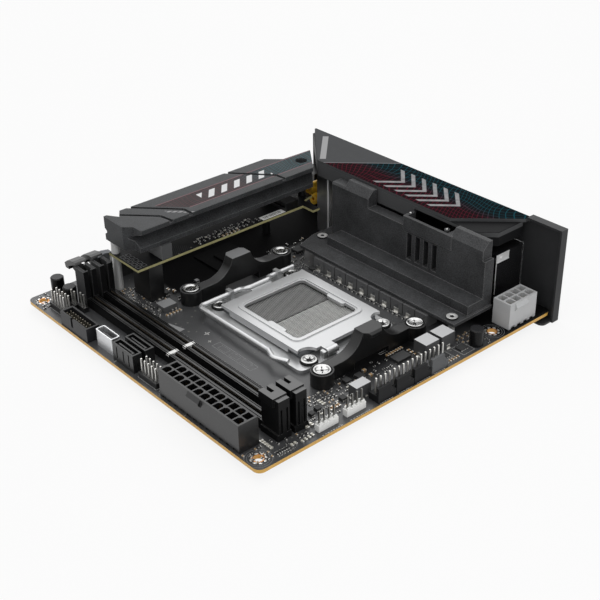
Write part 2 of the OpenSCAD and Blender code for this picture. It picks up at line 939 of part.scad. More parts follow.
// Boxed header for the front panel's ports
module usb_header()
    color("#34363a") on_board() at_usb_header()
        difference() {
            translate([-usb_l / 2, -usb_d / 2, 0])
                cube([usb_l, usb_d, front_port_h]);
            translate([usb_wall - usb_l / 2, usb_wall - usb_d / 2, 1.4])
                cube([usb_l - 2 * usb_wall, usb_d - 2 * usb_wall, front_port_h]);
            translate([-2.2, -usb_d / 2 - 1, 2.4])
                cube([1.6, usb_wall + 2, front_port_h]);
        }

module usb_header_pins()
    color("#d9b766") on_board() at_usb_header()
        translate([0, 0, 1.4 + front_port_h / 3])
            grid(usb_cols, 2, usb_pitch)
                cube([usb_pin_w, usb_pin_w, front_port_h / 1.5], center = true);

module at_type_c()
    translate([type_c_x, type_c_y, 0])
        children();

// Metal shell of the internal reversible port
module type_c_shell()
    color("#d5d6d6") on_board() at_type_c()
        linear_extrude(front_port_h + 1)
            difference() {
                round_rect(type_c_l, type_c_d, 0.8);
                round_rect(type_c_l - 2 * type_c_wall, type_c_d - 2 * type_c_wall, 0.6);
            }

module type_c_tongue()
    color("#2a2b2d") on_board() at_type_c() {
        linear_extrude(2)
            square([type_c_l - 2 * type_c_wall - gap, type_c_d - 2 * type_c_wall - gap], center = true);
        translate([-type_c_l / 3, -0.4, 0])
            cube([type_c_l / 1.5, 0.8, front_port_h - 0.4]);
    }

// Two upright drive sockets with angled tongues
module drive_sockets()
    color("#202124") on_board()
        for (i = [0, 1])
            translate([drive_x, drive_y + i * drive_pitch, 0]) {
                difference() {
                    translate([-drive_l / 2, -drive_d / 2, 0])
                        cube([drive_l, drive_d, drive_socket_h]);
                    translate([0.8 - drive_l / 2, 0.8 - drive_d / 2, 2])
                        cube([drive_l - 1.6, drive_d - 1.6, drive_socket_h]);
                    for (x = [-4.6, 0.4, 4.4])
                        translate([x - 0.4, -drive_d / 2 - 1, 2])
                            cube([0.8, 1.6, drive_socket_h - 3]);
                }
                translate([1.9 - drive_l / 2, -0.4, 1])
                    cube([drive_l - 4.2, 0.8, drive_socket_h - 1.6]);
                translate([drive_l / 2 - 3.1, -0.9, 1])
                    cube([0.8, 1.3, drive_socket_h - 1.6]);
            }

module at_pin_bases() {
    translate([panel_x, header_y, 0])
        grid(panel_cols, 2, pin_pitch)
            children();
    translate([aux_x, aux_y, 0])
        grid(panel_cols, 2, pin_pitch)
            children();
    for (p = jumper_places)
        translate(p)
            grid(2, 1, pin_pitch)
                children();
}

// Low black bases of the open pin headers
module pin_bases()
    color("#1b1c1e") on_board()
        linear_extrude(header_base_h)
            difference() {
                at_pin_bases()
                    square(pin_pitch + 0.01, center = true);
                at_pin_bases()
                    square(pin_w + 0.04, center = true);
            }

module header_pin()
    translate([0, 0, pin_h / 2])
        cube([pin_w, pin_w, pin_h], center = true);

// Square pins of the open headers and of the light-strip headers
module header_pins()
    color("#dcc48a") on_board() {
        at_pin_bases()
            header_pin();
        at_light_pins()
            header_pin();
    }

module at_fan_pins()
    for (j = [0 : fan_pins - 1])
        translate([0, (j - (fan_pins - 1) / 2) * pin_pitch, 0])
            children();

// One fan header: a low base with a guide wall towards the board's edge
module fan_header()
    difference() {
        union() {
            translate([-fan_d / 2, -fan_l / 2, 0])
                cube([fan_d, fan_l, fan_base_h]);
            translate([fan_d / 2 - fan_wall_t, -fan_l / 2, 0])
                cube([fan_wall_t, fan_wall_l, fan_wall_h]);
        }
        at_fan_pins()
            cube([pin_w + 0.04, pin_w + 0.04, 3 * fan_base_h], center = true);
    }

module at_fan(index)
    translate([fan_x, fan_y + index * fan_pitch, 0])
        children();

module fan_headers()
    color("#222326") on_board()
        for (i = [0 : 2])
            at_fan(i)
                fan_header();

module pump_header()
    color("#7d8084") on_board()
        at_fan(3)
            fan_header();

module fan_pins()
    color("#d6d2c4") on_board()
        for (i = [0 : 3])
            at_fan(i)
                at_fan_pins()
                    translate([0, 0, fan_pin_h / 2])
                        cube([pin_w, pin_w, fan_pin_h], center = true);

module at_light_pins()
    for (y = light_ys)
        translate([light_x, y, 0])
            at_fan_pins()
                children();

// White bases of the two light-strip headers
module light_headers()
    color("#f2f2ee") on_board()
        linear_extrude(light_base_h)
            difference() {
                at_light_pins()
                    square(pin_pitch + 0.01, center = true);
                at_light_pins()
                    square(pin_w + 0.04, center = true);
            }

// Can-shaped capacitors
module capacitors()
    color("#2a2b2e") on_board()
        for (p = can_places)
            translate(p) {
                cylinder(r = can_r, h = can_h - 0.4);
                translate([0, 0, can_h - 0.4])
                    cylinder(r1 = can_r, r2 = can_r - 0.4, h = 0.4);
            }

module at_chokes()
    for (i = [0 : choke_count - 1])
        translate([choke_x + i * choke_pitch, 0, 0])
            children();

// Row of chokes under the front edge of the regulator's heatsink
module vrm_chokes()
    color("#6c6e70") on_board() at_chokes()
        translate([-choke_w / 2, choke_y, 0])
            cube([choke_w, choke_d, choke_h]);

// Flat power chips behind the chokes, under the heatsink's foot
module power_stages()
    color("#1d1e20") on_board() at_chokes()
        translate([-stage_w / 2, stage_y, 0])
            cube([stage_w, stage_w, stage_h]);

// Light grey block inductors
module block_inductors()
    color("#b9bbbc") on_board()
        for (b = block_chokes)
            translate([b[0] - b[2] / 2, b[1] - b[3] / 2, 0])
                cube([b[2], b[3], b[4]]);

// Flat chip packages on the open parts of the board
module chip_packages()
    color("#26282b") on_board()
        for (c = chips)
            translate([c[0] - c[2] / 2, c[1] - c[3] / 2, 0])
                cube([c[2], c[3], c[4]]);

// Bevelled end block of the regulator's heatsink
module vrm_block(x, top)
    along_x(x[0], x[1])
        polygon([
            [vrm_wall_y, vrm_low - 1],
            [vrm_wall_y, vrm_h - vrm_bevel],
            [vrm_wall_y + vrm_bevel - vrm_h + top, top],
            [vrm_back_y, top],
            [vrm_back_y, vrm_low - 1]
        ]);

// Regulator heatsink: stepped base, slotted wall and two bevelled end blocks
module vrm_heatsink()
    color("#2d2f32") on_board()
        difference() {
            union() {
                translate([0, 0, vrm_base_h - vrm_base_t])
                    linear_extrude(vrm_base_t)
                        polygon([
                            [vrm_left + 4, vrm_front_y],
                            [vrm_right, vrm_front_y],
                            [vrm_right, vrm_back_y],
                            [vrm_left, vrm_back_y],
                            [vrm_left, vrm_front_y + 12]
                        ]);
                span([-19.5, vrm_step_y, vrm_base_h - 1], [vrm_right - 0.8, vrm_back_y, vrm_step_h]);
                span([-26, vrm_wall_y, vrm_base_h - 1], [vrm_right - 0.8, vrm_back_y, vrm_low]);
                span(
                    [choke_x - 3, stage_y, stage_h + 0.3],
                    [choke_x + (choke_count - 1) * choke_pitch + 3, stage_y + stage_w, vrm_base_h - 1]
                );
                vrm_block(vrm_left_block, vrm_h);
                vrm_block(vrm_right_block, vrm_h);
                span([vrm_box[0], vrm_wall_y - 0.6, vrm_box_z[0]], [vrm_box[1] + 2, vrm_back_y, vrm_box_z[1]]);
            }
            span(
                [vrm_box[0] + vrm_box_wall, vrm_wall_y - 0.6 + vrm_box_wall, vrm_low + 0.6],
                [vrm_box[1] - vrm_box_wall, vrm_back_y + 1, vrm_h + 1]
            );
            span([-27, vrm_wall_y - 1, vrm_h - 2.7], [vrm_left_block[0] + 8.5, vrm_back_y + 1, vrm_h + 1]);
            for (i = [0 : vrm_slots - 1])
                translate([vrm_slot_x + i * vrm_slot_pitch, vrm_wall_y - 0.3, vrm_step_h + 2])
                    cube([vrm_slot_w, 4, vrm_low - 3.1 - vrm_step_h - 2]);
            for (p = vrm_screws_at)
                translate(p)
                    cylinder(r = 1.6, h = vrm_step_h);
        }

module vrm_screws()
    color("#d4d4d2") on_board()
        for (p = vrm_screws_at)
            translate(p) {
                cylinder(r = 1.5, h = vrm_base_h);
                translate([0, 0, vrm_base_h])
                    cylinder(r1 = vrm_head_r, r2 = vrm_head_r - 0.5, h = vrm_head_h);
            }

// Plan outline of the cover's walls, drawn in by a wall thickness
module cover_outline(inset)
    polygon([
        [-43.8 + inset, cover_front_y + inset],
        [59 - 0.4 * inset, cover_front_y + inset],
        [66.6 - inset, cover_front_y + 7.6 + 0.4 * inset],
        [66.6 - inset, rim_front - 0.4 + inset],
        [-73.5 + 2 * inset, rim_front - 0.4 + inset]
    ]);

// Hollow cover over the rear ports, open below and behind
module io_cover()
    color("#3a3b3e") on_board()
        difference() {
            translate([0, 0, vrm_low + 1])
                linear_extrude(cover_h - cover_t - vrm_low - 1)
                    cover_outline(0);
            translate([0, 0, vrm_low])
                linear_extrude(cover_h - 2 * cover_t - vrm_low)
                    cover_outline(cover_t);
            span(
                [vrm_box[0], cover_front_y - 1, vrm_low],
                [vrm_box[1], cover_front_y + cover_t + 1, cover_h - 2 * cover_t]
            );
        }

// Flat top panel of the rear cover
module io_panel()
    color("#26323a") on_board()
        translate([0, 0, cover_h - cover_t])
            linear_extrude(cover_t)
                polygon([
                    [-43.8, cover_front_y],
                    [44.8, cover_front_y],
                    [panel_right, rim_front - 0.4],
                    [panel_right, plate_y + plate_t],
                    [plate_left_x - 0.6, plate_y + plate_t],
                    [plate_left_x - 0.6, plate_y]
                ]);

// Box of a rear port from its left, right, front and top
module port_body(port, low)
    span([port[0], port[2], low], [port[1], port_back, port[3]]);

// Hole in the rear plate around a port
module port_hole(port)
    span([port[0] - 0.3, rim_front - 1, -0.3], [port[1] + 0.3, rim_back + 1, port[3] + 0.3]);

// Flat port mouth with a tongue across its middle
module port_mouth(x, z, w, h)
    difference() {
        translate([x - w / 2, port_back - 9, z])
            cube([w, 10, h]);
        translate([x - w / 2 + 1, port_back - 10, z + h / 2 - 0.8])
            cube([w - 2, 9.4, 1.6]);
    }

// Rear plate with a rim, a foot under the board and a hole for each port
module io_plate()
    color("#1f2124") on_board()
        difference() {
            union() {
                span([plate_left_x, plate_y, -plate_drop], [plate_right_x, plate_y + plate_t, plate_top]);
                difference() {
                    span([plate_left_x, rim_front, -plate_drop], [plate_right_x, rim_back, plate_top]);
                    span(
                        [plate_left_x + plate_t, rim_front - 1, plate_t - plate_drop],
                        [plate_right_x - plate_t, rim_back + 1, plate_top - plate_t]
                    );
                }
                translate([plate_right_x - 5, rim_front - 2, -plate_drop])
                    linear_extrude(plate_t)
                        round_rect(8, 8, 2.5);
            }
            span([plate_left_x - 1, rim_front - 1, -pcb_t - gap], [plate_left_x + 9, plate_y, gap]);
            span(
                [plate_left_x - 1, rim_front - 1, plate_low_top],
                [panel_right + gap, rim_back + 1, plate_top + 1]
            );
            for (port = [stack_r, stack_l, video, type_c_port])
                port_hole(port);
            for (z = audio_zs)
                rod([audio_x, rim_front, z], [audio_x, rim_back + 1, z], audio_r + 0.3);
            for (p = jacks)
                rod([p.x, rim_front, p.y], [p.x, rim_back + 1, p.y], jack_r + 0.3);
            for (x = button_xs)
                rod([x, rim_front, button_z], [x, rim_back + 1, button_z], button_r + gap);
        }

// Stack of four flat ports in a metal shell
module usb_stack()
    color("#b9bbbd") on_board()
        difference() {
            port_body(stack_r, 0);
            for (i = [0 : 3])
                port_mouth((stack_r[0] + stack_r[1]) / 2, 1 + i * 6.5, 12.6, 5);
        }

// Network socket above two flat ports, in a metal shell
module network_stack()
    color("#c4c6c8") on_board()
        difference() {
            port_body(stack_l, 0);
            for (i = [0, 1])
                port_mouth((stack_l[0] + stack_l[1]) / 2, 1 + i * 6.5, 12.6, 5);
            span([network_x - 5.9, port_back - 13, 16.4], [network_x + 5.9, port_back + 1, 24.8]);
            span([network_x - 3, port_back - 13, 24], [network_x + 3, port_back + 1, 28]);
        }

// Two display sockets, one above the other
module video_ports()
    color("#b0b2b4") on_board()
        difference() {
            port_body(video, 0);
            for (z = [1.2, 8.2])
                port_mouth((video[0] + video[1]) / 2, z, 14.2, 5);
        }

// Small reversible port with round ends
module type_c_socket()
    color("#c8cacc") on_board()
        difference() {
            port_body(type_c_port, 0);
            translate([(type_c_port[0] + type_c_port[1]) / 2, 0, type_c_port[3] / 2])
                along_y(port_back - 7, port_back + 1)
                    difference() {
                        round_rect(8.4, 2.8, 1.3);
                        square([6.6, 0.7], center = true);
                    }
        }

// Two sound sockets in one block
module audio_jacks()
    color("#202225") on_board()
        difference() {
            union() {
                span([audio[0], audio[2], 0], [audio[1], plate_y - gap, audio[3]]);
                for (z = audio_zs)
                    rod([audio_x, plate_y - 2, z], [audio_x, port_back, z], audio_r);
            }
            for (z = audio_zs)
                rod([audio_x, port_back - 13, z], [audio_x, port_back + 1, z], 1.8);
        }

// Two gold-plated antenna sockets with hexagon nuts
module antenna_jacks()
    color("#c9a24a") on_board()
        for (p = jacks)
            translate([p.x, 0, p.y])
                rotate([-90, 0, 0])
                    difference() {
                        union() {
                            translate([0, 0, p.z])
                                cylinder(r = jack_r, h = plate_y + 9 - p.z);
                            translate([0, 0, plate_y + plate_t])
                                cylinder(r = jack_r + 1.4, h = 2.2, $fn = 6);
                        }
                        translate([0, 0, p.z - 1])
                            cylinder(r = jack_r - 2, h = 4);
                        translate([0, 0, plate_y])
                            cylinder(r = jack_r - 0.7, h = 20);
                    }

// Switch bodies behind the two push buttons
module button_switches()
    color("#25272a") on_board()
        for (x = button_xs)
            difference() {
                span([x - switch_w / 2, switch_y - switch_w, 0], [x + switch_w / 2, switch_y, button_z + 4]);
                rod([x, switch_y - 5, button_z], [x, switch_y + 1, button_z], button_stem_r + pin_clear);
            }

// Push button: a stem in its switch, a collar and a round cap through the rear plate
module push_button(x)
    translate([x, 0, button_z])
        rotate([-90, 0, 0]) {
            translate([0, 0, switch_y - 3.4])
                cylinder(r = button_stem_r, h = 6);
            translate([0, 0, switch_y + 2])
                cylinder(r = button_r + 1, h = 1.4);
            translate([0, 0, switch_y + 3])
                cylinder(r = button_r, h = rim_back - switch_y - 3);
        }

module flash_button()
    color("#d6d7d8") on_board()
        push_button(button_xs[0]);

module clear_button()
    color("#3a3c40") on_board()
        push_button(button_xs[1]);

// Plan outline of the storage heatsink
module storage_outline()
    polygon([
        [storage_far, -50.6],
        [-52.1, -50.6],
        [-48.3, -46.6],
        [storage_edge, -46.6],
        [storage_edge, 55.4],
        [-59.8, 68.6],
        [-60.4, 51.1],
        [storage_far, 44.2],
        [storage_far, -42],
        [-61.4, -45.6],
        [storage_far, -49]
    ]);

// Shallow groove along the heatsink's top
module storage_groove(a, b) {
    d = b - a;
    translate([a.x, a.y, storage_h - groove_deep])
        rotate(atan2(d.y, d.x))
            translate([0, -groove_w / 2, 0])
                cube([norm(d), groove_w, groove_deep + 1]);
}

// Storage heatsink: waisted section, cut ends, three slanting grooves and a screw hole
module storage_heatsink()
    color("#4a4d52") on_board()
        difference() {
            intersection() {
                along_y(-60, 80)
                    polygon([
                        [storage_far, storage_low],
                        [storage_far, storage_low + 3],
                        [storage_far + 1.6, storage_low + 4],
                        [storage_far + 1.6, storage_low + 5],
                        [storage_far, storage_low + 6],
                        [storage_far, storage_h],
                        [storage_edge, storage_h],
                        [storage_edge, storage_h - 2.2],
                        [storage_edge - 8, storage_h - 5],
                        [storage_edge - 8, storage_h - 5.8],
                        [storage_edge - 2, storage_low + 2.2],
                        [storage_edge - 2, storage_low]
                    ]);
                linear_extrude(storage_h + 1)
                    storage_outline();
            }
            storage_groove([storage_far - 1, -38], [-48.1, -19.5]);
            storage_groove([-48.4, -19.5], [storage_edge + 1, -19.2]);
            storage_groove([-63, -44.4], [-49.4, -31.5]);
            storage_groove([-49.7, -31.5], [storage_edge + 1, -30]);
            storage_groove([storage_far - 1, 19], [-47.9, 36]);
            storage_groove([-48.2, 36], [storage_edge + 1, 36.7]);
            translate([storage_hole.x, storage_hole.y, storage_seat])
                cylinder(r = storage_hole_r, h = storage_h);
            translate([storage_hole.x, storage_hole.y, 0])
                cylinder(r = storage_shank_r + 0.2, h = storage_h);
        }

// Screw at the rear of the storage heatsink
module storage_screw()
    color("#2a2b2d") on_board()
        translate(storage_hole) {
            translate([0, 0, riser_top + 1])
                cylinder(r = storage_shank_r, h = storage_seat - riser_top - 1);
            translate([0, 0, storage_seat])
                difference() {
                    cylinder(r = storage_hole_r - 0.4, h = 1.6);
                    for (turn = [0, 90])
                        rotate(turn)
                            translate([-1.6, -0.35, 0.8])
                                cube([3.2, 0.7, 2]);
                }
        }

// Small circuit board raised above the main board
module riser_board()
    color("#17191b") on_board()
        translate([0, 0, riser_h])
            linear_extrude(riser_t)
                polygon([
                    [riser_x[0], riser_y[0]],
                    [riser_x[1], riser_y[0]],
                    [riser_x[1], riser_ear[1]],
                    [riser_ear[0], riser_ear[1]],
                    [riser_ear[0], riser_ear[2]],
                    [-47, riser_ear[2]],
                    [-49, riser_ear[3]],
                    [-59, riser_ear[3]],
                    [riser_x[0], riser_y[1]]
                ]);

// Tall connector that carries the raised board
module riser_connector()
    color("#2c2e31") on_board()
        span([-57, -44, 0], [riser_x[1] - 0.4, -36.6, riser_h]);

// Socket for the storage module, on the raised board
module storage_socket()
    color("#1f2023") on_board()
        difference() {
            span([riser_x[0] + 0.4, 38, riser_top], [riser_x[1] - 0.4, 46, riser_top + 4.2]);
            span([riser_x[0] + 1.4, 37, riser_top + 1.4], [riser_x[1] - 1.4, 43.5, riser_top + 2.4]);
        }

// Posts under the raised board and between it and the storage heatsink
module riser_posts()
    color("#c6c7c8") on_board() {
        for (p = lower_posts)
            translate(p)
                cylinder(r = riser_post_r, h = riser_h);
        for (p = upper_posts)
            translate([p.x, p.y, riser_top])
                difference() {
                    cylinder(r = riser_post_r, h = storage_low - riser_top);
                    translate([0, 0, 0.9])
                        cylinder(r = storage_shank_r + 0.05, h = storage_low);
                }
    }

// Grey block between the raised board and the storage heatsink
module support_block()
    color("#77797c") on_board()
        span([-54.6, -36, riser_top], [riser_x[1] - 0.3, -30.6, storage_low]);

// Controller chip under the raised board
module chipset()
    color("#3b3d40") on_board() {
        span([-65, -4, 0], [-43, 18, 1]);
        span([-58, 3, 0.9], [-50, 11, 1.8]);
    }

module at_card_slot()
    translate([-card_slot_x, 0, 0])
        children();

// Long expansion card slot with a forked end for its latch
module card_slot()
    color("#1c1d1f") on_board() at_card_slot()
        difference() {
            union() {
                span(
                    [-card_slot_w / 2, card_slot_front, 0],
                    [card_slot_w / 2, card_slot_front + card_slot_l, card_slot_h]
                );
                for (s = sides)
                    translate([s * (card_slot_w / 2 - 0.7), card_slot_front - 3, 3.2])
                        cube([1.4, 6.2, 6.4], center = true);
            }
            span(
                [-card_groove_w / 2, card_slot_front + 2, 2.6],
                [card_groove_w / 2, card_slot_front + card_slot_l - 14.6, card_slot_h + 1]
            );
            span(
                [-card_groove_w / 2, card_slot_front + card_slot_l - 12.8, 2.6],
                [card_groove_w / 2, card_slot_front + card_slot_l - 2, card_slot_h + 1]
            );
            rod(
                [-card_slot_w, card_latch_y, card_latch_z],
                [card_slot_w, card_latch_y, card_latch_z],
                latch_pin_r + pin_clear
            );
        }

// Latch that holds the end of a card
module card_latch()
    color("#26272a") on_board() at_card_slot() {
        along_x(1.8 - card_slot_w / 2, card_slot_w / 2 - 1.8)
            polygon([
                [card_latch_y - 1.3, card_latch_z - 1.4],
                [card_latch_y + 1.3, card_latch_z - 1.4],
                [card_latch_y + 1.3, card_slot_h + 0.8],
                [card_latch_y + 3, card_slot_h + 1.4],
                [card_latch_y + 3, card_slot_h + 2.6],
                [card_latch_y - 1.3, card_slot_h + 3.4],
                [card_latch_y - 5, card_slot_h + 2.4],
                [card_latch_y - 5, card_slot_h + 1.2],
                [card_latch_y - 1.3, card_slot_h + 0.2]
            ]);
        rod(
            [0.4 - card_slot_w / 2, card_latch_y, card_latch_z],
            [card_slot_w / 2 - 0.4, card_latch_y, card_latch_z],
            latch_pin_r
        );
    }

pcb();
backplate();
cooler_bracket_near();
cooler_bracket_far();
cooler_screws();
socket_housing();
contact_field();
socket_frame();
load_plate();
load_lever();
socket_screws();
dimm_slot_a();
dimm_slot_b();
dimm_keys();
dimm_latch_a();
dimm_latch_b();
main_power();
main_power_pins();
cpu_power();
cpu_power_pins();
usb_header();
usb_header_pins();
type_c_shell();
type_c_tongue();
drive_sockets();
pin_bases();
header_pins();
fan_headers();
pump_header();
fan_pins();
light_headers();
capacitors();
vrm_chokes();
power_stages();
block_inductors();
chip_packages();
vrm_heatsink();
vrm_screws();
io_cover();
io_panel();
io_plate();
usb_stack();
network_stack();
video_ports();
type_c_socket();
audio_jacks();
antenna_jacks();
button_switches();
flash_button();
clear_button();
storage_heatsink();
storage_screw();
riser_board();
riser_connector();
storage_socket();
riser_posts();
support_block();
chipset();
card_slot();
card_latch();
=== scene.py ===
"""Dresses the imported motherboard: finishes for its solids, small parts, prints, light and camera."""
import logging
import math
import random
from collections.abc import Callable, Iterator, Mapping, Sequence
from dataclasses import dataclass
from enum import Enum
from functools import reduce
from operator import mul, or_

import bmesh
import bpy
from mathutils import Matrix, Vector


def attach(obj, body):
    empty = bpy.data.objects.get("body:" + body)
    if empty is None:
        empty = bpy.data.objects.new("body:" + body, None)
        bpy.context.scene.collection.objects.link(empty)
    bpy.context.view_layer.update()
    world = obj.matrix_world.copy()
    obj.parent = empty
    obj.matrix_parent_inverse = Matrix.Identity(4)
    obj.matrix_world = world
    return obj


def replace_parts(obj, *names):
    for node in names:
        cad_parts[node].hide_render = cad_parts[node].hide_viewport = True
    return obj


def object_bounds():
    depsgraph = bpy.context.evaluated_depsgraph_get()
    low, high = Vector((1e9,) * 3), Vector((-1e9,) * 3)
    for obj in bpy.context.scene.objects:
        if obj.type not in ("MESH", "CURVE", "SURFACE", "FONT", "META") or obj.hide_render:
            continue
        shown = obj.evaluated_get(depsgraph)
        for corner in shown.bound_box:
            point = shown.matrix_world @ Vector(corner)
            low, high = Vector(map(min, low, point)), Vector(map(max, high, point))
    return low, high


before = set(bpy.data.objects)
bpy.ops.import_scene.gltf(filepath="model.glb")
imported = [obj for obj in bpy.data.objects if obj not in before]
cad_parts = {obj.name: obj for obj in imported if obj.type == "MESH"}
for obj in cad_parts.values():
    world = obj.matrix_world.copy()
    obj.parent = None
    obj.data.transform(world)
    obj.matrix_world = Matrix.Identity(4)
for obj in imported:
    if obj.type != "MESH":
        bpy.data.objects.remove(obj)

LOG = logging.getLogger("motherboard")
CAD_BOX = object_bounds()
MM = 0.001
ORIGIN = Vector()
# Sizes that several pieces share, in millimetres, with places from the board's centre and top face
BOARD_T = 1.6
HOLE_FRONT_Y = 80.01
HOLES = ((78.74, -80.01), (-78.74, -80.01), (78.74, 52.07), (-78.74, 74.93))
SOCKET_CENTRE = (13.63, -2.88)
SLOT_YS = (-65.0, -56.4)
RISER_TOP = 19.2
PIN_PITCH = 2.54
# Corners of a solid that are closer than this, in metres, are one
MERGE_M = 1e-7
# Inputs of a mix node: the factor and the two things that it mixes
MIX_NUMBERS = (0, 2, 3)
MIX_COLOURS = (0, 6, 7)
Place = tuple[float, float]
Triple = tuple[float, float, float]
Box = tuple[Triple, Triple]
Colour = tuple[float, float, float]
Socket = bpy.types.NodeSocket


def at(x: float, y: float, z: float = 0.0) -> Vector:
    """Turns a place on the board into a point of the frame.

    Args:
        x: Millimetres to the right of the board's centre.
        y: Millimetres behind the board's centre.
        z: Millimetres above the board's top face.

    Returns:
        The point in metres.
    """
    return Vector((x, y + HOLE_FRONT_Y, z + BOARD_T)) * MM


BOARD = at(0.0, 0.0)


def circle(radius: float, sides: int) -> list[Place]:
    """Gives points round a circle.

    Args:
        radius: Its radius.
        sides: How many points a full circle has.

    Returns:
        The points, or the centre alone where the radius is 0.
    """
    turns = [math.tau * i / sides for i in range(sides if radius > 0 else 1)]
    return [(radius * math.cos(t), radius * math.sin(t)) for t in turns]


class Value:
    """A number or colour in a node tree. Sums with it add nodes to the tree."""

    def __init__(self, nodes: "Nodes", socket: Socket) -> None:
        """Holds a socket and the nodes that it belongs to."""
        self.nodes = nodes
        self.socket = socket

    def __add__(self, other: "Number") -> "Value":
        """Gives the sum."""
        return self.nodes.math("ADD", self, other)

    def __sub__(self, other: "Number") -> "Value":
        """Gives the difference."""
        return self.nodes.math("SUBTRACT", self, other)

    def __rsub__(self, other: float) -> "Value":
        """Gives a plain number less this value."""
        return self.nodes.math("SUBTRACT", other, self)

    def __mul__(self, other: "Number") -> "Value":
        """Gives the product, which is also where two masks both hold."""
        return self.nodes.math("MULTIPLY", self, other)

    def __truediv__(self, other: "Number") -> "Value":
        """Gives the quotient."""
        return self.nodes.math("DIVIDE", self, other)

    def __or__(self, other: "Value") -> "Value":
        """Gives the larger value, which is where either of two masks holds."""
        return self.nodes.math("MAXIMUM", self, other)

    def __lt__(self, other: "Number") -> "Value":
        """Gives 1 where this value is the smaller one."""
        return self.nodes.math("LESS_THAN", self, other)

    def __abs__(self) -> "Value":
        """Gives the value without its sign."""
        return self.nodes.math("ABSOLUTE", self)


Number = Value | float


class Nodes:
    """Adds and links the nodes of one tree."""

    def __init__(self, tree: bpy.types.NodeTree) -> None:
        """Starts with a tree."""
        self.tree = tree

    def feed(self, value: object, socket: Socket) -> None:
        """Links a value to an input, or sets a constant on it.

        Args:
            value: A value, a socket or a constant.
            socket: The input.
        """
        if isinstance(value, Value):
            value = value.socket
        if isinstance(value, bpy.types.NodeSocket):
            self.tree.links.new(value, socket)
        elif socket.type == "RGBA":
            socket.default_value = (*value, 1.0)
        else:
            socket.default_value = value

    def node(
        self, kind: str, inputs: Mapping[str | int, object] | None = None, **settings: object
    ) -> bpy.types.Node:
        """Adds a node.

        Args:
            kind: Blender's name for the node.
            inputs: What its inputs take, by their names or numbers.
            settings: Its other properties.

        Returns:
            The node.
        """
        made = self.tree.nodes.new(kind)
        for key, value in settings.items():
            setattr(made, key, value)
        for key, value in (inputs or {}).items():
            self.feed(value, made.inputs[key])
        return made

    def math(self, operation: str, *values: Number) -> Value:
        """Adds a math node and gives its result."""
        made = self.node("ShaderNodeMath", dict(enumerate(values)), operation=operation)
        return Value(self, made.outputs[0])

    def mix(self, factor: Number, first: object, second: object) -> Value:
        """Mixes two colours by a factor."""
        inputs = dict(zip(MIX_COLOURS, (factor, first, second)))
        return Value(self, self.node("ShaderNodeMix", inputs, data_type="RGBA").outputs[2])

    def blend(self, factor: Number, first: Number, second: Number) -> Value:
        """Mixes two numbers by a factor."""
        inputs = dict(zip(MIX_NUMBERS, (factor, first, second)))
        return Value(self, self.node("ShaderNodeMix", inputs, data_type="FLOAT").outputs[0])

    def noise(self, vector: Socket, scale: Number, detail: float) -> Value:
        """Adds a noise of a scale in features per metre."""
        made = self.node("ShaderNodeTexNoise", {"Vector": vector, "Scale": scale, "Detail": detail})
        return Value(self, made.outputs["Fac"])

    def ramp(self, value: object, start: float, end: float) -> Value:
        """Gives 0 at a start, 1 at an end and an even run between them."""
        made = self.node("ShaderNodeMapRange", {0: value, 1: start, 2: end}, clamp=True)
        return Value(self, made.outputs[0])


class Group(Nodes):
    """A node group with named inputs and outputs."""

    def __init__(self, name: str, kind: str, inputs: Mapping[str, str], outputs: Mapping[str, str]) -> None:
        """Starts the group.

        Args:
            name: Its name.
            kind: Blender's name for its kind of tree.
            inputs: The kind of each input, by its name.
            outputs: The kind of each output, by its name.
        """
        super().__init__(bpy.data.node_groups.new(name, kind))
        self.keys: dict[str, str] = {}
        for way, sockets in (("INPUT", inputs), ("OUTPUT", outputs)):
            for label, sort in sockets.items():
                made = self.tree.interface.new_socket(label, in_out=way, socket_type=f"NodeSocket{sort}")
                self.keys[label] = made.identifier
        self.given = self.node("NodeGroupInput").outputs


class SurfaceGrain(Group):
    """Fine moulded or powder-coat grain: a tone and a height from two noises."""

    BROAD_SCALE = 0.06
    BROAD_SHARE = 0.35
    DETAIL = 3.0
    MIDDLE = 0.5

    def __init__(self) -> None:
        """Builds the group."""
        super().__init__(
            "surface_grain", "ShaderNodeTree", {"Vector": "Vector", "Scale": "Float", "Contrast": "Float"},
            {"Tone": "Float", "Height": "Float"},
        )
        vector, scale = self.given["Vector"], Value(self, self.given["Scale"])
        fine = self.noise(vector, scale, self.DETAIL)
        broad = self.noise(vector, scale * self.BROAD_SCALE, self.DETAIL)
        centred = self.blend(self.BROAD_SHARE, fine, broad) - self.MIDDLE
        tone = self.node(
            "ShaderNodeMath", {0: centred, 1: self.given["Contrast"], 2: self.MIDDLE},
            operation="MULTIPLY_ADD", use_clamp=True,
        )
        self.node("NodeGroupOutput", {"Tone": tone.outputs[0], "Height": fine})


class SoftEdges(Group):
    """Rounded edges: a softened normal and a mask along the edges."""

    SAMPLES = 4
    FLAT = 0.98
    TURNED = 0.75

    def __init__(self) -> None:
        """Builds the group."""
        super().__init__(
            "soft_edges", "ShaderNodeTree", {"Radius": "Float"}, {"Edge": "Float", "Normal": "Vector"}
        )
        bevel = self.node("ShaderNodeBevel", {"Radius": self.given["Radius"]}, samples=self.SAMPLES)
        soft = bevel.outputs[0]
        flat = self.node("ShaderNodeNewGeometry").outputs["Normal"]
        likeness = self.node("ShaderNodeVectorMath", {0: soft, 1: flat}, operation="DOT_PRODUCT")
        edge = self.ramp(likeness.outputs["Value"], self.FLAT, self.TURNED)
        self.node("NodeGroupOutput", {"Edge": edge, "Normal": soft})


GRAIN = SurfaceGrain()
EDGES = SoftEdges()


class Axis(Enum):
    """What a painter can measure: a place on the board in millimetres, or a part of the surface normal."""

    X = (0, 0.0)
    Y = (1, HOLE_FRONT_Y)
    Z = (2, BOARD_T)
    REAR = (1, None)
    UP = (2, None)


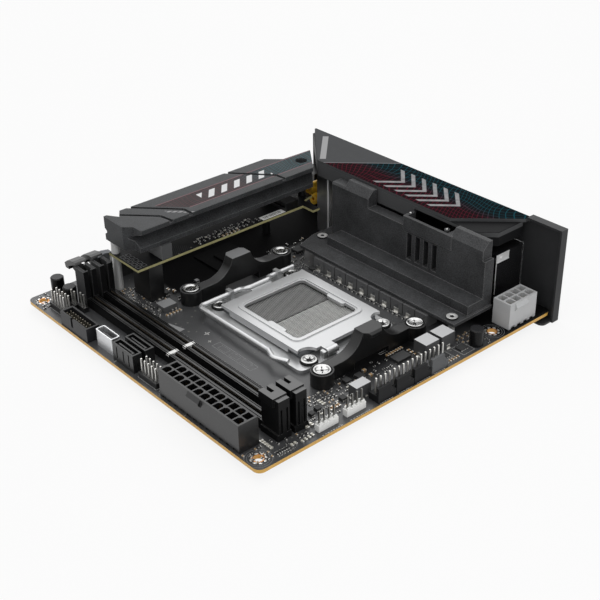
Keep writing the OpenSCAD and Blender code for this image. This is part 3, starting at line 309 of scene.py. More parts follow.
class Shader(Nodes):
    """Builds one material's nodes."""

    def __init__(self, name: str) -> None:
        """Starts a material with a plain shader.

        Args:
            name: The material's name.
        """
        self.material = bpy.data.materials.new(name)
        self.material.use_nodes = True
        super().__init__(self.material.node_tree)
        self.bsdf = self.tree.nodes["Principled BSDF"]
        self.coords = self.node("ShaderNodeTexCoord").outputs["Object"]

    def dress(self, inputs: Mapping[str, object]) -> None:
        """Feeds inputs of the plain shader."""
        for key, value in inputs.items():
            self.feed(value, self.bsdf.inputs[key])

    def place(self, group: Group, **inputs: object) -> dict[str, Value]:
        """Places a shared effect and gives its results by their names."""
        made = self.node("ShaderNodeGroup", inputs, node_tree=group.tree)
        return {out.name: Value(self, out) for out in made.outputs}

    def along(self, axis: Axis) -> Value:
        """Measures an axis.

        Args:
            axis: What to measure.

        Returns:
            Millimetres from the board's centre and top face, or a part of the normal.
        """
        index, shift = axis.value
        if shift is None:
            source = self.node("ShaderNodeNewGeometry").outputs["Normal"]
        else:
            source = self.coords
        part = Value(self, self.node("ShaderNodeSeparateXYZ", {0: source}).outputs[index])
        return part if shift is None else self.math("MULTIPLY_ADD", part, 1 / MM, -shift)

    def above(self, value: Value, limit: float, soft: float = 0.05) -> Value:
        """Gives 1 where a value is over a limit and 0 where it is under."""
        return self.ramp(value, limit - soft, limit + soft)

    def between(self, value: Value, low: float, high: float, soft: float = 0.05) -> Value:
        """Gives 1 where a value lies between two limits."""
        return self.above(value, low, soft) * (1.0 - self.above(value, high, soft))

    def stripes(self, value: Value, pitch: float, width: float, soft: float = 0.02) -> Value:
        """Gives lines of a width, repeated at a pitch along a value."""
        part = self.math("FRACT", value / pitch)
        return 1.0 - self.above(abs(part - 0.5), width / pitch / 2, soft)

    def speckle(self, scale: float, detail: float = 2.0) -> Value:
        """Adds a noise over the piece's own coordinates."""
        return self.noise(self.coords, scale, detail)


Painter = Callable[[Shader, Value], Value]
Limit = tuple[Axis, float, float]


@dataclass(frozen=True)
class Zone:
    """A colour on the part of a piece that lies over some limits and under others, each with its softness."""

    colour: Colour
    over: tuple[Limit, ...] = ()
    under: tuple[Limit, ...] = ()
    ribs: Triple | None = None
    metal_beyond: float | None = None

    def __call__(self, shader: Shader, colour: Value) -> Value:
        """Lays the colour on, with upright ribs or bare of metal where the zone says so.

        Args:
            shader: The material's nodes.
            colour: The colour so far.

        Returns:
            The new colour.
        """
        masks = [shader.above(shader.along(axis), limit, soft) for axis, limit, soft in self.over]
        masks += [1.0 - shader.above(shader.along(axis), limit, soft) for axis, limit, soft in self.under]
        if self.ribs:
            masks.append(shader.stripes(shader.along(Axis.X), *self.ribs))
        mask = reduce(mul, masks)
        if self.metal_beyond is not None:
            shader.dress({"Metallic": (1.0 - mask) * self.metal_beyond})
        return shader.mix(mask, colour, self.colour)


@dataclass(frozen=True)
class BoardPaint:
    """Tracks, plated dots and bare glass-fibre edges of a circuit board, and a lacquer with dull places,
    where the board is painted dark as shade.
    """

    edge_dark: Colour
    edge_light: Colour
    gloss: float = 0.0
    dull: tuple[tuple[float, ...], ...] = ()
    painted_shade_colour: Colour = (0.007, 0.007, 0.0073)
    coat_roughness: float = 0.32
    track_colour: Colour = (0.09, 0.092, 0.095)
    track_strength: float = 0.3
    dot_colour: Colour = (0.3, 0.29, 0.26)
    dot_scale: float = 330.0
    dot_radius: float = 0.16
    dot_strength: float = 0.4

    def _tracks(self, shader: Shader, x: Value, y: Value) -> Value:
        """Gives patches of faint slanting tracks.

        Args:
            shader: The material's nodes.
            x: The place across the board.
            y: The place along the board.

        Returns:
            The tracks' mask.
        """
        patch = shader.above(shader.speckle(55.0, 1.0), 0.5, 0.02)
        turned = shader.above(shader.speckle(24.0, 0.0), 0.5, 0.01)
        rising = shader.stripes(x + y, 1.3, 0.42, 0.05)
        falling = shader.stripes(x - y, 1.5, 0.4, 0.05)
        return patch * shader.blend(turned, rising, falling) * self.track_strength

    def _dots(self, shader: Shader) -> Value:
        """Gives sparse groups of plated dots.

        Args:
            shader: The material's nodes.

        Returns:
            The dots' mask.
        """
        cells = shader.node("ShaderNodeTexVoronoi", {"Vector": shader.coords, "Scale": self.dot_scale})
        sparse = shader.above(shader.speckle(70.0, 0.0), 0.56, 0.02)
        return (Value(shader, cells.outputs["Distance"]) < self.dot_radius) * sparse * self.dot_strength

    def __call__(self, shader: Shader, colour: Value) -> Value:
        """Paints the board over its plain colour.

        Args:
            shader: The material's nodes.
            colour: The colour so far.

        Returns:
            The new colour.
        """
        x, y, up = map(shader.along, (Axis.X, Axis.Y, Axis.UP))
        colour = shader.mix(self._tracks(shader, x, y), colour, self.track_colour)
        colour = shader.mix(self._dots(shader), colour, self.dot_colour)
        fibre = shader.mix(shader.speckle(900.0), self.edge_dark, self.edge_light)
        colour = shader.mix(abs(up) < 0.5, colour, fibre)
        if not self.dull:
            return colour
        # Painted shade: in the dull zones the top face loses its coat and takes the dark colour
        zones = reduce(or_, (
            shader.between(x, left, right, soft) * shader.between(y, front, back, soft)
            for left, right, front, back, soft in self.dull
        ))
        dull = zones * shader.above(up, 0.5)
        shader.dress({"Coat Weight": self.gloss - dull * self.gloss, "Coat Roughness": self.coat_roughness})
        return shader.mix(dull, colour, self.painted_shade_colour)


@dataclass(frozen=True)
class ContactPaint:
    """The socket's slanted grid of contacts, in painted shade on the left half and painted light on the
    right.
    """

    rows: Place = (0.82, 0.4)
    columns: Place = (0.94, 0.5)
    slope: float = 0.25
    soft: float = 0.08
    grounds: tuple[Colour, Colour] = ((0.06, 0.06, 0.06), (0.17, 0.17, 0.165))
    metals: tuple[Colour, Colour] = ((0.24, 0.24, 0.235), (0.5, 0.5, 0.49))

    def __call__(self, shader: Shader, colour: Value) -> Value:
        """Paints the grid over the whole field.

        Args:
            shader: The material's nodes.
            colour: The colour so far, which the grid hides.

        Returns:
            The new colour.
        """
        x, y = map(shader.along, (Axis.X, Axis.Y))
        rows = shader.stripes(y + x * self.slope, *self.rows, self.soft)
        columns = shader.stripes(x - y * self.slope, *self.columns, self.soft)
        right = shader.above(x, SOCKET_CENTRE[0], 0.02)
        # The left half takes the painted shade and the right half the painted light
        return shader.mix(rows * columns, shader.mix(right, *self.grounds), shader.mix(right, *self.metals))


@dataclass(frozen=True)
class WarpedGrid:
    """Fine warped lines in two colours on a dark ground in two colours."""

    grounds: tuple[Colour, Colour]
    threads: tuple[Colour, Colour]
    swirl: Place
    lean: Place
    pitches: Place
    widths: Place
    strength: float

    def paint(self, shader: Shader, x: Value, y: Value, share: Value) -> Value:
        """Paints the grid.

        Args:
            shader: The material's nodes.
            x: The place across the board.
            y: The place along the board.
            share: How much of the second colours shows.

        Returns:
            The grid's colour.
        """
        scale, reach = self.swirl
        drift = shader.speckle(scale, 1.0) * reach
        ways = (x + drift + y * self.lean[0], y + drift + x * self.lean[1])
        first, second = (
            shader.stripes(way, pitch, width, 0.03)
            for way, pitch, width in zip(ways, self.pitches, self.widths)
        )
        ground, thread = shader.mix(share, *self.grounds), shader.mix(share, *self.threads)
        return shader.mix((first | second) * self.strength, ground, thread)


@dataclass(frozen=True)
class PanelPaint:
    """The cover panel's print: a plain corner with a blank patch, then a warped grid under chevrons."""

    grid: WarpedGrid = WarpedGrid(
        ((0.0022, 0.0052, 0.0068), (0.0075, 0.0024, 0.0036)), ((0.01, 0.07, 0.09), (0.12, 0.01, 0.024)),
        swirl=(26.0, 26.0), lean=(0.5, -0.3), pitches=(2.4, 3.1), widths=(0.3, 0.26), strength=0.8,
    )
    print_from: float = -98.4
    rim: Place = (-98.9, -98.3)
    rim_colour: Colour = (0.3, 0.3, 0.31)
    patch_along: Place = (17.2, 21.4)
    patch_across: Place = (-146.0, -105.0)
    patch_colour: Colour = (0.4, 0.402, 0.405)
    warm_until: Place = (73.5, 3.0)
    drift: Place = (30.0, 16.0)
    fold_y: float = 71.5
    chevrons: Place = (7.0, 2.6)
    chevron_run: Place = (0.0, 42.0)
    chevron_reach: float = 9.5
    foil: tuple[Colour, Colour] = ((0.18, 0.18, 0.185), (0.5, 0.5, 0.51))
    foil_scale: float = 420.0
    foil_strength: float = 0.9

    def _chevrons(self, shader: Shader, x: Value, y: Value) -> Value:
        """Gives the chevrons' mask.

        Args:
            shader: The material's nodes.
            x: The place across the board.
            y: The place along the board.

        Returns:
            The mask.
        """
        fold = abs(y - self.fold_y)
        run = x + fold
        bars = shader.stripes(run, *self.chevrons, 0.03) * shader.between(run, *self.chevron_run, 0.1)
        return bars * (fold < self.chevron_reach) * self.foil_strength

    def __call__(self, shader: Shader, colour: Value) -> Value:
        """Paints the upper face of the panel.

        Args:
            shader: The material's nodes.
            colour: The colour so far.

        Returns:
            The new colour.
        """
        x, y, up = map(shader.along, (Axis.X, Axis.Y, Axis.UP))
        slant, top = x - y, shader.above(up, 0.9, 0.02)
        patch = shader.between(x + y, *self.patch_along) * shader.between(slant, *self.patch_across, 0.1)
        colour = shader.mix(patch * top, colour, self.patch_colour)
        scale, reach = self.drift
        drifted = y + (shader.speckle(scale, 1.0) - 0.5) * reach
        ground = self.grid.paint(shader, x, y, 1.0 - shader.above(drifted, *self.warm_until))
        foil = shader.mix(shader.speckle(self.foil_scale), *self.foil)
        ground = shader.mix(self._chevrons(shader, x, y), ground, foil)
        colour = shader.mix(shader.above(slant, self.print_from, 0.15) * top, colour, ground)
        return shader.mix(shader.between(slant, *self.rim, 0.1) * top, colour, self.rim_colour)


@dataclass(frozen=True)
class StoragePaint:
    """The storage heatsink's top: a printed band with plain slanting bars, and a row of ticks before it."""

    grid: WarpedGrid = WarpedGrid(
        ((0.0065, 0.003, 0.0036), (0.0035, 0.008, 0.01)), ((0.085, 0.015, 0.02), (0.016, 0.11, 0.135)),
        swirl=(40.0, 12.0), lean=(0.35, 0.0), pitches=(1.7, 2.3), widths=(0.22, 0.22), strength=0.7,
    )
    top_z: float = 37.9
    front_y: float = -27.0
    band_x: Place = (-59.8, -47.4)
    band_from: float = 31.5
    fade_drift: Place = (60.0, 22.0)
    fade_at: Place = (40.0, 14.0)
    bars: Place = (7.6, 3.4)
    bars_lean: float = 0.8
    bars_x: Place = (-56.6, -50.0)
    bars_y: Place = (-6.0, 36.0)
    bars_colour: Colour = (0.74, 0.745, 0.75)
    border_w: float = 0.5
    border_colour: Colour = (0.2, 0.1, 0.11)
    ticks: Place = (1.9, 1.2)
    ticks_y: Place = (-27.0, 66.0)
    ticks_across: Place = (23.5, 25.5)
    ticks_colour: Colour = (0.34, 0.34, 0.345)

    def _band(self, shader: Shader, x: Value, y: Value) -> Value:
        """Gives the band's colour: grid, bars and border.

        Args:
            shader: The material's nodes.
            x: The place across the board.
            y: The place along the board.

        Returns:
            The colour.
        """
        scale, reach = self.fade_drift
        ground = self.grid.paint(shader, x, y, shader.above(y + shader.speckle(scale) * reach, *self.fade_at))
        bars = shader.stripes(y + x * self.bars_lean, *self.bars) * shader.between(x, *self.bars_x, 0.04)
        ground = shader.mix(bars * shader.between(y, *self.bars_y, 0.1), ground, self.bars_colour)
        left, right = self.band_x
        border = shader.between(x, left, left + self.border_w, 0.04)
        border = border | shader.between(x, right - self.border_w, right, 0.04)
        return shader.mix(border, ground, self.border_colour)

    def __call__(self, shader: Shader, colour: Value) -> Value:
        """Paints the heatsink's top.

        Args:
            shader: The material's nodes.
            colour: The colour so far.

        Returns:
            The new colour.
        """
        x, y, z = map(shader.along, (Axis.X, Axis.Y, Axis.Z))
        top = shader.above(z, self.top_z, 0.02) * shader.above(y, self.front_y, 0.3)
        skew = y - x
        ticks = shader.between(y, *self.ticks_y, 0.2) * shader.between(skew, *self.ticks_across, 0.1)
        ticks = top * ticks * shader.stripes(x, *self.ticks, 0.05)
        band = top * shader.between(x, *self.band_x) * shader.above(skew, self.band_from, 0.1)
        return shader.mix(band, shader.mix(ticks, colour, self.ticks_colour), self._band(shader, x, y))


@dataclass(frozen=True)
class Finish:
    """One surface finish: its colour, gloss, grain, and edges lightened as wear and as painted highlights."""

    name: str
    colour: Colour
    roughness: float = 0.5
    metallic: float = 0.0
    grain: float = 2500.0
    spread: float = 0.18
    depth: float = 0.00003
    edge: float = 0.0002
    wear_and_sheen: float = 0.12
    specular: float = 0.5
    ior: float = 1.5
    contrast: float = 1.0
    painters: tuple[Painter, ...] = ()
    gloss_spread: float = 0.15
    worn_and_lit_share: float = 0.5
    bump_strength: float = 0.6

    def material(self) -> bpy.types.Material:
        """Gives the finish's material, made once.

        Returns:
            The material.
        """
        known = bpy.data.materials.get(self.name)
        if known:
            return known
        shader = Shader(self.name)
        grain = shader.place(GRAIN, Vector=shader.coords, Scale=self.grain, Contrast=self.contrast)
        edges = shader.place(EDGES, Radius=self.edge)
        dark, light = (
            tuple(min(1.0, c * share) for c in self.colour) for share in (1 - self.spread, 1 + self.spread)
        )
        # Edges are lightened towards white, for wear and as painted highlights
        worn_and_lit = tuple(c + (1 - c) * self.worn_and_lit_share for c in self.colour)
        colour = shader.mix(grain["Tone"], dark, light)
        colour = shader.mix(edges["Edge"] * self.wear_and_sheen, colour, worn_and_lit)
        for paint in self.painters:
            colour = paint(shader, colour)
        glossy, dull = (self.roughness * share for share in (1 - self.gloss_spread, 1 + self.gloss_spread))
        bump = shader.node("ShaderNodeBump", {
            "Distance": self.depth, "Strength": self.bump_strength, "Height": grain["Height"],
            "Normal": edges["Normal"],
        })
        shader.dress({
            "Base Color": colour, "Roughness": shader.blend(grain["Tone"], glossy, min(1.0, dull)),
            "Normal": bump.outputs[0], "Specular IOR Level": self.specular, "IOR": self.ior,
        })
        if not shader.bsdf.inputs["Metallic"].is_linked:
            shader.dress({"Metallic": self.metallic})
        return shader.material


class Finishes:
    """Every finish on the board."""

    # The board's dull zones are painted shade: under the raised board, beside the near bracket and at the
    # back right corner
    MASK = Finish(
        "solder_mask", (0.05, 0.051, 0.053), 0.6, grain=1400.0, wear_and_sheen=0.0, ior=1.06,
        painters=(BoardPaint(
            (0.58, 0.29, 0.035), (0.84, 0.52, 0.12), 1.0,
            ((-76.0, -37.0, -35.0, 92.0, 6.0), (46.0, 68.0, -24.0, 24.0, 6.0), (56.0, 88.0, 48.0, 90.0, 5.0)),
        ),),
    )
    RISER_MASK = Finish(
        "riser_mask", (0.008, 0.0082, 0.009), 0.5, grain=1400.0, wear_and_sheen=0.0, ior=1.15,
        painters=(BoardPaint((0.32, 0.29, 0.13), (0.55, 0.52, 0.28)),),
    )
    PLASTIC = Finish("black_nylon", (0.004, 0.004, 0.0043), 0.34, wear_and_sheen=0.05, specular=0.6)
    SLOT = Finish("slot_plastic", (0.004, 0.0041, 0.0044), 0.3, wear_and_sheen=0.05, specular=1.0)
    SLOT_SIDE = Finish("slot_sides", (0.004, 0.0041, 0.0044), 0.45, wear_and_sheen=0.1, ior=1.22)
    # Painted light on the latch towers' upward and front faces, with edges lightened strongly
    TOWER_LIT = Finish("tower_plastic", (0.05, 0.0505, 0.0515), 0.5, edge=0.0004, wear_and_sheen=0.35, ior=1.15)
    # Dark strips along the memory rails: painted shade of their grooves
    GROOVE_SHADE = Finish("dull_groove", (0.003, 0.003, 0.003), 0.8, wear_and_sheen=0.0, ior=1.03)
    RAIL = Finish("rail_plastic", (0.006, 0.0061, 0.0064), 0.34, wear_and_sheen=0.1, specular=0.62)
    # The far bracket's upward faces are painted lighter than the near one's, as sheen
    BRACKET = Finish(
        "bracket_plastic", (0.005, 0.0051, 0.0053), 0.34, wear_and_sheen=0.12, edge=0.0005, specular=0.42,
        painters=(Zone(
            (0.24, 0.242, 0.246), over=((Axis.UP, 0.75, 0.2), (Axis.X, -60.0, 0.05), (Axis.Z, 9.0, 4.0)),
            under=((Axis.X, 0.0, 0.05),),
        ),),
    )
    FAN = Finish("fan_header_plastic", (0.01, 0.0102, 0.011), 0.5, wear_and_sheen=0.06, ior=1.22)
    HEADER = Finish("header_plastic", (0.012, 0.0122, 0.0135), 0.4, wear_and_sheen=0.06, specular=0.3)
    DARK_GREY = Finish("dark_grey_plastic", (0.03, 0.031, 0.034), 0.42)
    MID_GREY = Finish("grey_plastic", (0.1, 0.103, 0.107), 0.45, ior=1.3)
    # Upright ribs down the front of the support block
    SUPPORT = Finish(
        "pale_support", (0.1, 0.102, 0.104), 0.5, ior=1.3,
        painters=(Zone((0.34, 0.343, 0.347), under=((Axis.REAR, -0.5, 0.1),), ribs=(0.9, 0.4, 0.1)),),
    )
    LIGHT_GREY = Finish("pale_grey_nylon", (0.52, 0.525, 0.53), 0.5, spread=0.06)
    WHITE = Finish("white_nylon", (0.93, 0.93, 0.91), 0.45, spread=0.05)
    STEEL = Finish("plated_steel", (0.54, 0.545, 0.55), 0.3, 0.65, grain=1200.0, spread=0.05, depth=0.000004)
    NICKEL = Finish("satin_nickel", (0.6, 0.6, 0.59), 0.45, 0.6, spread=0.08)
    # Painted shade in the screws' recesses and round their heads
    RECESS_SHADE = Finish("screw_recess", (0.02, 0.02, 0.02), 0.5, wear_and_sheen=0.0, ior=1.2)
    SCREW = Finish("bright_screw", (0.5, 0.5, 0.496), 0.26, 1.0, spread=0.08)
    DARK_STEEL = Finish("black_steel", (0.05, 0.05, 0.052), 0.42, 0.6)
    GOLD = Finish("gold_plating", (0.85, 0.52, 0.1), 0.3, 1.0)
    JACK_GOLD = Finish("socket_gold", (0.8, 0.47, 0.03), 0.35, 0.45)
    # The pins of the lighting headers are duller than the others
    PIN = Finish(
        "header_pins", (0.7, 0.69, 0.66), 0.32, 1.0,
        painters=(Zone((0.16, 0.158, 0.15), over=((Axis.X, 75.0, 0.5),)),),
    )
    TIN = Finish("tin_plating", (0.7, 0.69, 0.66), 0.32, 1.0)
    DULL_PIN = Finish("dull_pins", (0.2, 0.18, 0.14), 0.45, 0.5)
    CONTACT = Finish("spring_contacts", (0.2, 0.2, 0.2), 0.45, 0.3, wear_and_sheen=0.0, painters=(ContactPaint(),))
    FERRITE = Finish("pressed_ferrite", (0.13, 0.131, 0.133), 0.5, spread=0.25, ior=1.3)
    # The inductor beside the memory has a darker top, and all have sides painted dark as shade
    INDUCTOR = Finish(
        "coated_inductor", (0.6, 0.605, 0.61), 0.45, spread=0.06,
        painters=(
            Zone((0.27, 0.272, 0.275), under=((Axis.X, 0.0, 0.05),)),
            Zone((0.07, 0.071, 0.073), under=((Axis.UP, 0.8, 0.05),)),
        ),
    )
    # The chip under the raised board is painted darker than the other chips, as shade
    HIDDEN_CHIP = Finish("dull_chip_moulding", (0.004, 0.004, 0.0042), 0.6, wear_and_sheen=0.0, ior=1.1)
    CHIP = Finish("chip_moulding", (0.03, 0.0305, 0.031), 0.5, ior=1.35)
    # Its edges are lightened strongly as painted highlights
    HEATSINK = Finish(
        "dark_powder_coat", (0.048, 0.049, 0.051), 0.5, grain=1700.0, spread=0.6, contrast=3.0, depth=0.00008,
        edge=0.0006, wear_and_sheen=0.3, ior=1.3,
    )
    STORAGE = Finish(
        "grey_powder_coat", (0.048, 0.0497, 0.052), 0.5, grain=1700.0, spread=0.5, contrast=3.0,
        depth=0.00006, edge=0.0006, wear_and_sheen=0.25, ior=1.25, painters=(StoragePaint(),),
    )
    # The ledge at the cover's end is painted dark as shade below and above the lighter line of its edge
    COVER = Finish(
        "cover_plastic", (0.088, 0.0895, 0.092), 0.5, grain=4200.0, ior=1.12,
        painters=(
            Zone((0.012, 0.0122, 0.013), over=((Axis.X, 36.0, 3.0),), under=((Axis.Z, 36.4, 0.1),)),
            Zone((0.012, 0.0122, 0.013), over=((Axis.X, 36.0, 3.0), (Axis.Z, 38.6, 0.1))),
        ),
    )
    PANEL = Finish(
        "printed_panel", (0.085, 0.087, 0.09), 0.6, grain=4200.0, ior=1.06, painters=(PanelPaint(),),
    )
    PLATE = Finish("rear_plate_paint", (0.03, 0.0305, 0.032), 0.5, grain=4200.0, spread=0.3, ior=1.3)
    # Soft bands down the network socket's shell are painted reflections, pale and then dark
    NETWORK = Finish(
        "network_shell", (0.5, 0.505, 0.51), 0.3, 0.9, spread=0.06,
        painters=(
            Zone((0.9, 0.905, 0.91), over=((Axis.Z, 15.0, 5.0),), under=((Axis.Z, 22.0, 5.0),)),
            Zone((0.2, 0.201, 0.203), over=((Axis.Z, 26.0, 3.0),)),
        ),
    )
    # Pale and barely metallic, so the painted highlight down the port stack's corner stays bright
    TRIM_AND_HIGHLIGHT = Finish("bright_trim", (0.85, 0.85, 0.85), 0.35, 0.25)
    SHELL = Finish("port_shell", (0.62, 0.625, 0.63), 0.25, 1.0, spread=0.06)
    # The port stack's shell is painted dark and bare of metal as shade, behind its bright mouth
    STACK = Finish(
        "stack_shell", (0.62, 0.625, 0.63), 0.25, 1.0, spread=0.06,
        painters=(Zone((0.012, 0.012, 0.013), under=((Axis.Y, 85.3, 0.05),), metal_beyond=1.0),),
    )
    # The rear posts are black and the front ones bright
    POST = Finish(
        "turned_posts", (0.92, 0.92, 0.91), 0.3, 0.3,
        painters=(Zone((0.015, 0.015, 0.016), over=((Axis.Y, 0.0, 0.1),), metal_beyond=0.3),),
    )
    # The can capacitors have lighter tops
    CAN = Finish(
        "sleeved_can", (0.005, 0.0051, 0.0054), 0.28, ior=1.28, wear_and_sheen=0.3,
        painters=(Zone((0.022, 0.022, 0.024), over=((Axis.UP, 0.8, 0.05),)),),
    )
    SILK = Finish("white_silkscreen", (0.62, 0.62, 0.6), 0.6, spread=0.1, wear_and_sheen=0.0)
    FAINT_SILK = Finish("faint_silkscreen", (0.26, 0.262, 0.265), 0.6, spread=0.2, wear_and_sheen=0.0)
    CERAMIC = Finish("tan_ceramic", (0.42, 0.27, 0.13), 0.45, spread=0.25)
    PALE_BEAD = Finish("pale_ceramic", (0.62, 0.6, 0.52), 0.45, spread=0.2)
    RESISTOR = Finish("black_ceramic", (0.02, 0.02, 0.021), 0.4)
    LABEL = Finish("white_label", (0.9, 0.9, 0.88), 0.6, spread=0.05, wear_and_sheen=0.0)
    COPPER = Finish("copper_wall", (0.8, 0.36, 0.12), 0.3, 1.0)
    # One metal for both halves of the socket's contacts, painted as a shaded and a lit copy
    SPRING_DARK = Finish("spring_dark", (0.3, 0.3, 0.295), 0.4, 0.7, wear_and_sheen=0.0, edge=0.00005)
    SPRING_LIT = Finish("spring_pale", (0.74, 0.74, 0.73), 0.35, 0.7, wear_and_sheen=0.0, edge=0.00005)
    FINGER = Finish("slot_fingers", (0.2, 0.17, 0.13), 0.4, 0.6, wear_and_sheen=0.0, edge=0.00005)
    FINGER_TOP = Finish("slot_finger_tops", (0.004, 0.004, 0.0042), 0.6, wear_and_sheen=0.0, edge=0.00005, ior=1.1)


FINISH_NODES: tuple[tuple[Finish, tuple[str, ...]], ...] = (
    (Finishes.MASK, ("pcb",)),
    (Finishes.RISER_MASK, ("riser_board",)),
    (Finishes.PLASTIC, (
        "dimm_latch_a", "dimm_latch_b", "main_power", "type_c_tongue", "drive_sockets", "pin_bases",
        "audio_jacks", "button_switches", "riser_connector", "storage_socket",
    )),
    (Finishes.SLOT, ("dimm_slot_a", "dimm_slot_b", "card_slot")),
    (Finishes.BRACKET, ("cooler_bracket_near", "cooler_bracket_far")),
    (Finishes.FAN, ("fan_headers",)),
    (Finishes.HEADER, ("usb_header",)),
    (Finishes.DARK_GREY, ("socket_housing", "clear_button", "card_latch")),
    (Finishes.MID_GREY, ("pump_header",)),
    (Finishes.SUPPORT, ("support_block",)),
    (Finishes.LIGHT_GREY, ("cpu_power", "flash_button")),
    (Finishes.WHITE, ("dimm_keys", "light_headers")),
    (Finishes.STEEL, ("socket_frame", "load_plate", "load_lever")),
    (Finishes.SCREW, ("cooler_screws", "socket_screws", "vrm_screws")),
    (Finishes.DARK_STEEL, ("backplate", "storage_screw")),
    (Finishes.GOLD, ("main_power_pins", "cpu_power_pins")),
    (Finishes.JACK_GOLD, ("antenna_jacks",)),
    (Finishes.PIN, ("header_pins",)),
    (Finishes.TIN, ("fan_pins",)),
    (Finishes.DULL_PIN, ("usb_header_pins",)),
    (Finishes.CONTACT, ("contact_field",)),
    (Finishes.FERRITE, ("vrm_chokes",)),
    (Finishes.INDUCTOR, ("block_inductors",)),
    (Finishes.HIDDEN_CHIP, ("chipset",)),
    (Finishes.CHIP, ("power_stages", "chip_packages")),
    (Finishes.HEATSINK, ("vrm_heatsink",)),
    (Finishes.STORAGE, ("storage_heatsink",)),
    (Finishes.COVER, ("io_cover",)),
    (Finishes.PANEL, ("io_panel",)),
    (Finishes.PLATE, ("io_plate",)),
    (Finishes.NETWORK, ("network_stack",)),
    (Finishes.SHELL, ("type_c_shell", "video_ports", "type_c_socket")),
    (Finishes.STACK, ("usb_stack",)),
    (Finishes.POST, ("riser_posts",)),
    (Finishes.CAN, ("capacitors",)),
)


def dress_nodes() -> None:
    """Gives every solid its finish."""
    for finish, nodes in FINISH_NODES:
        for name in nodes:
            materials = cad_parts[name].data.materials
            materials.clear()
            materials.append(finish.material())
            LOG.info("dressed %s in %s", name, finish.name)


def place_piece(name: str, mesh: bpy.types.Mesh, body: str, slot: str) -> bpy.types.Object:
    """Links a mesh as a piece that rides a body.

    Args:
        name: The piece's name.
        mesh: Its mesh, in the frame's own coordinates.
        body: The body it moves with.
        slot: Not used.

    Returns:
        The piece.
    """
    made = bpy.data.objects.new(name, mesh)
    bpy.context.collection.objects.link(made)
    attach(made, body)
    LOG.info("piece %s on %s: %d faces", name, body, len(mesh.polygons))
    return made


class Solid:
    """A mesh built from closed solids, in millimetres of the board or of its own origin."""

    def __init__(self, name: str, origin: Vector = BOARD) -> None:
        """Starts an empty mesh.

        Args:
            name: The mesh's name.
            origin: The point, in metres, that its millimetres count from.
        """
        self.name = name
        self.origin = origin
        self.bm = bmesh.new()

    def loft(
        self, rings: Sequence[Sequence[Triple]], cap: bool = False, loop: bool = False
    ) -> list[list[bmesh.types.BMFace]]:
        """Adds a closed solid through rings of corners. A ring of one corner is a tip.

        Args:
            rings: The corners, ring by ring.
            cap: Whether the faces take the second finish.
            loop: Whether the last ring joins the first, with no faces across the ends.

        Returns:
            The faces between each two rings, then the first and the last end's.
        """
        verts = [[self.bm.verts.new(self.origin + Vector(p) * MM) for p in ring] for ring in rings]
        sides = max(len(ring) for ring in verts)
        made: list[list[bmesh.types.BMFace]] = []
        for low, high in zip(verts, verts[1:] + verts[:1] if loop else verts[1:]):
            band = []
            for i in range(sides):
                picks = ((low, i), (low, i + 1), (high, i + 1), (high, i))
                corners = dict.fromkeys(ring[k % len(ring)] for ring, k in picks)
                band.append(self.bm.faces.new(list(corners)))
            made.append(band)
        for ring in (verts[0], verts[-1]):
            made.append([] if loop or len(ring) == 1 else [self.bm.faces.new(ring)])
        faces = [face for band in made for face in band]
        for face in faces:
            face.material_index = int(cap)
        bmesh.ops.recalc_face_normals(self.bm, faces=faces)
        return made

    def prism(self, outline: Sequence[Place], low: float, high: float, cap: bool = False) -> None:
        """Adds an upright prism over an outline of x and y."""
        self.loft([[(x, y, z) for x, y in outline] for z in (low, high)], cap)

    def slab(self, outline: Sequence[Place], front: float, back: float) -> None:
        """Adds a slab over an outline of x and z."""
        self.loft([[(x, y, z) for x, z in outline] for y in (front, back)])

    def box(self, low: Triple, high: Triple, cap: bool = False) -> None:
        """Adds a block between two corners."""
        (left, front, bottom), (right, back, top) = low, high
        self.prism([(left, front), (right, front), (right, back), (left, back)], bottom, top, cap)

    def lathe(
        self, profile: Sequence[Place], sides: int, centre: Triple = (0.0, 0.0, 0.0), loop: bool = False
    ) -> None:
        """Adds a round solid.

        Args:
            profile: Radii and heights, which start and end on the axis or make a loop.
            sides: How many sides it has.
            centre: Where its axis starts.
            loop: Whether the profile is a loop.
        """
        x, y, z = centre
        self.loft([[(x + u, y + v, z + h) for u, v in circle(r, sides)] for r, h in profile], loop=loop)

    def tube(self, centre: Place, radii: Place, heights: Place, sides: int) -> None:
        """Adds an upright ring.

        Args:
            centre: Its centre on the board.
            radii: Its outer and inner radius.
            heights: Its lower and upper end.
            sides: How many sides it has.
        """
        (outer, inner), (low, high) = radii, heights
        profile = ((outer, low), (outer, high), (inner, high), (inner, low))
        self.lathe(profile, sides, (*centre, 0.0), loop=True)

    def mesh(self, *finishes: Finish) -> bpy.types.Mesh:
        """Gives the finished mesh with its finishes.

        Args:
            finishes: The finish of the plain faces, then of the others by their numbers.

        Returns:
            The mesh.
        """
        made = bpy.data.meshes.new(self.name)
        for finish in finishes:
            made.materials.append(finish.material())
        self.bm.to_mesh(made)
        self.bm.free()
        return made

    def piece(self, body: str, slot: str, *finishes: Finish) -> bpy.types.Object:
        """Makes a piece of the mesh that rides a body."""
        return place_piece(self.name, self.mesh(*finishes), body, slot)


@dataclass
class Spot:
    """One copy of a repeated part: where it stands, its size and its turn."""

    place: Vector
    size: Triple = (1.0, 1.0, 1.0)
    turn: float = 0.0

    def taken(self, radius: float) -> Triple:
        """Gives the place on the board in millimetres, and a radius to keep free."""
        return self.place.x / MM, self.place.y / MM - HOLE_FRONT_Y, radius


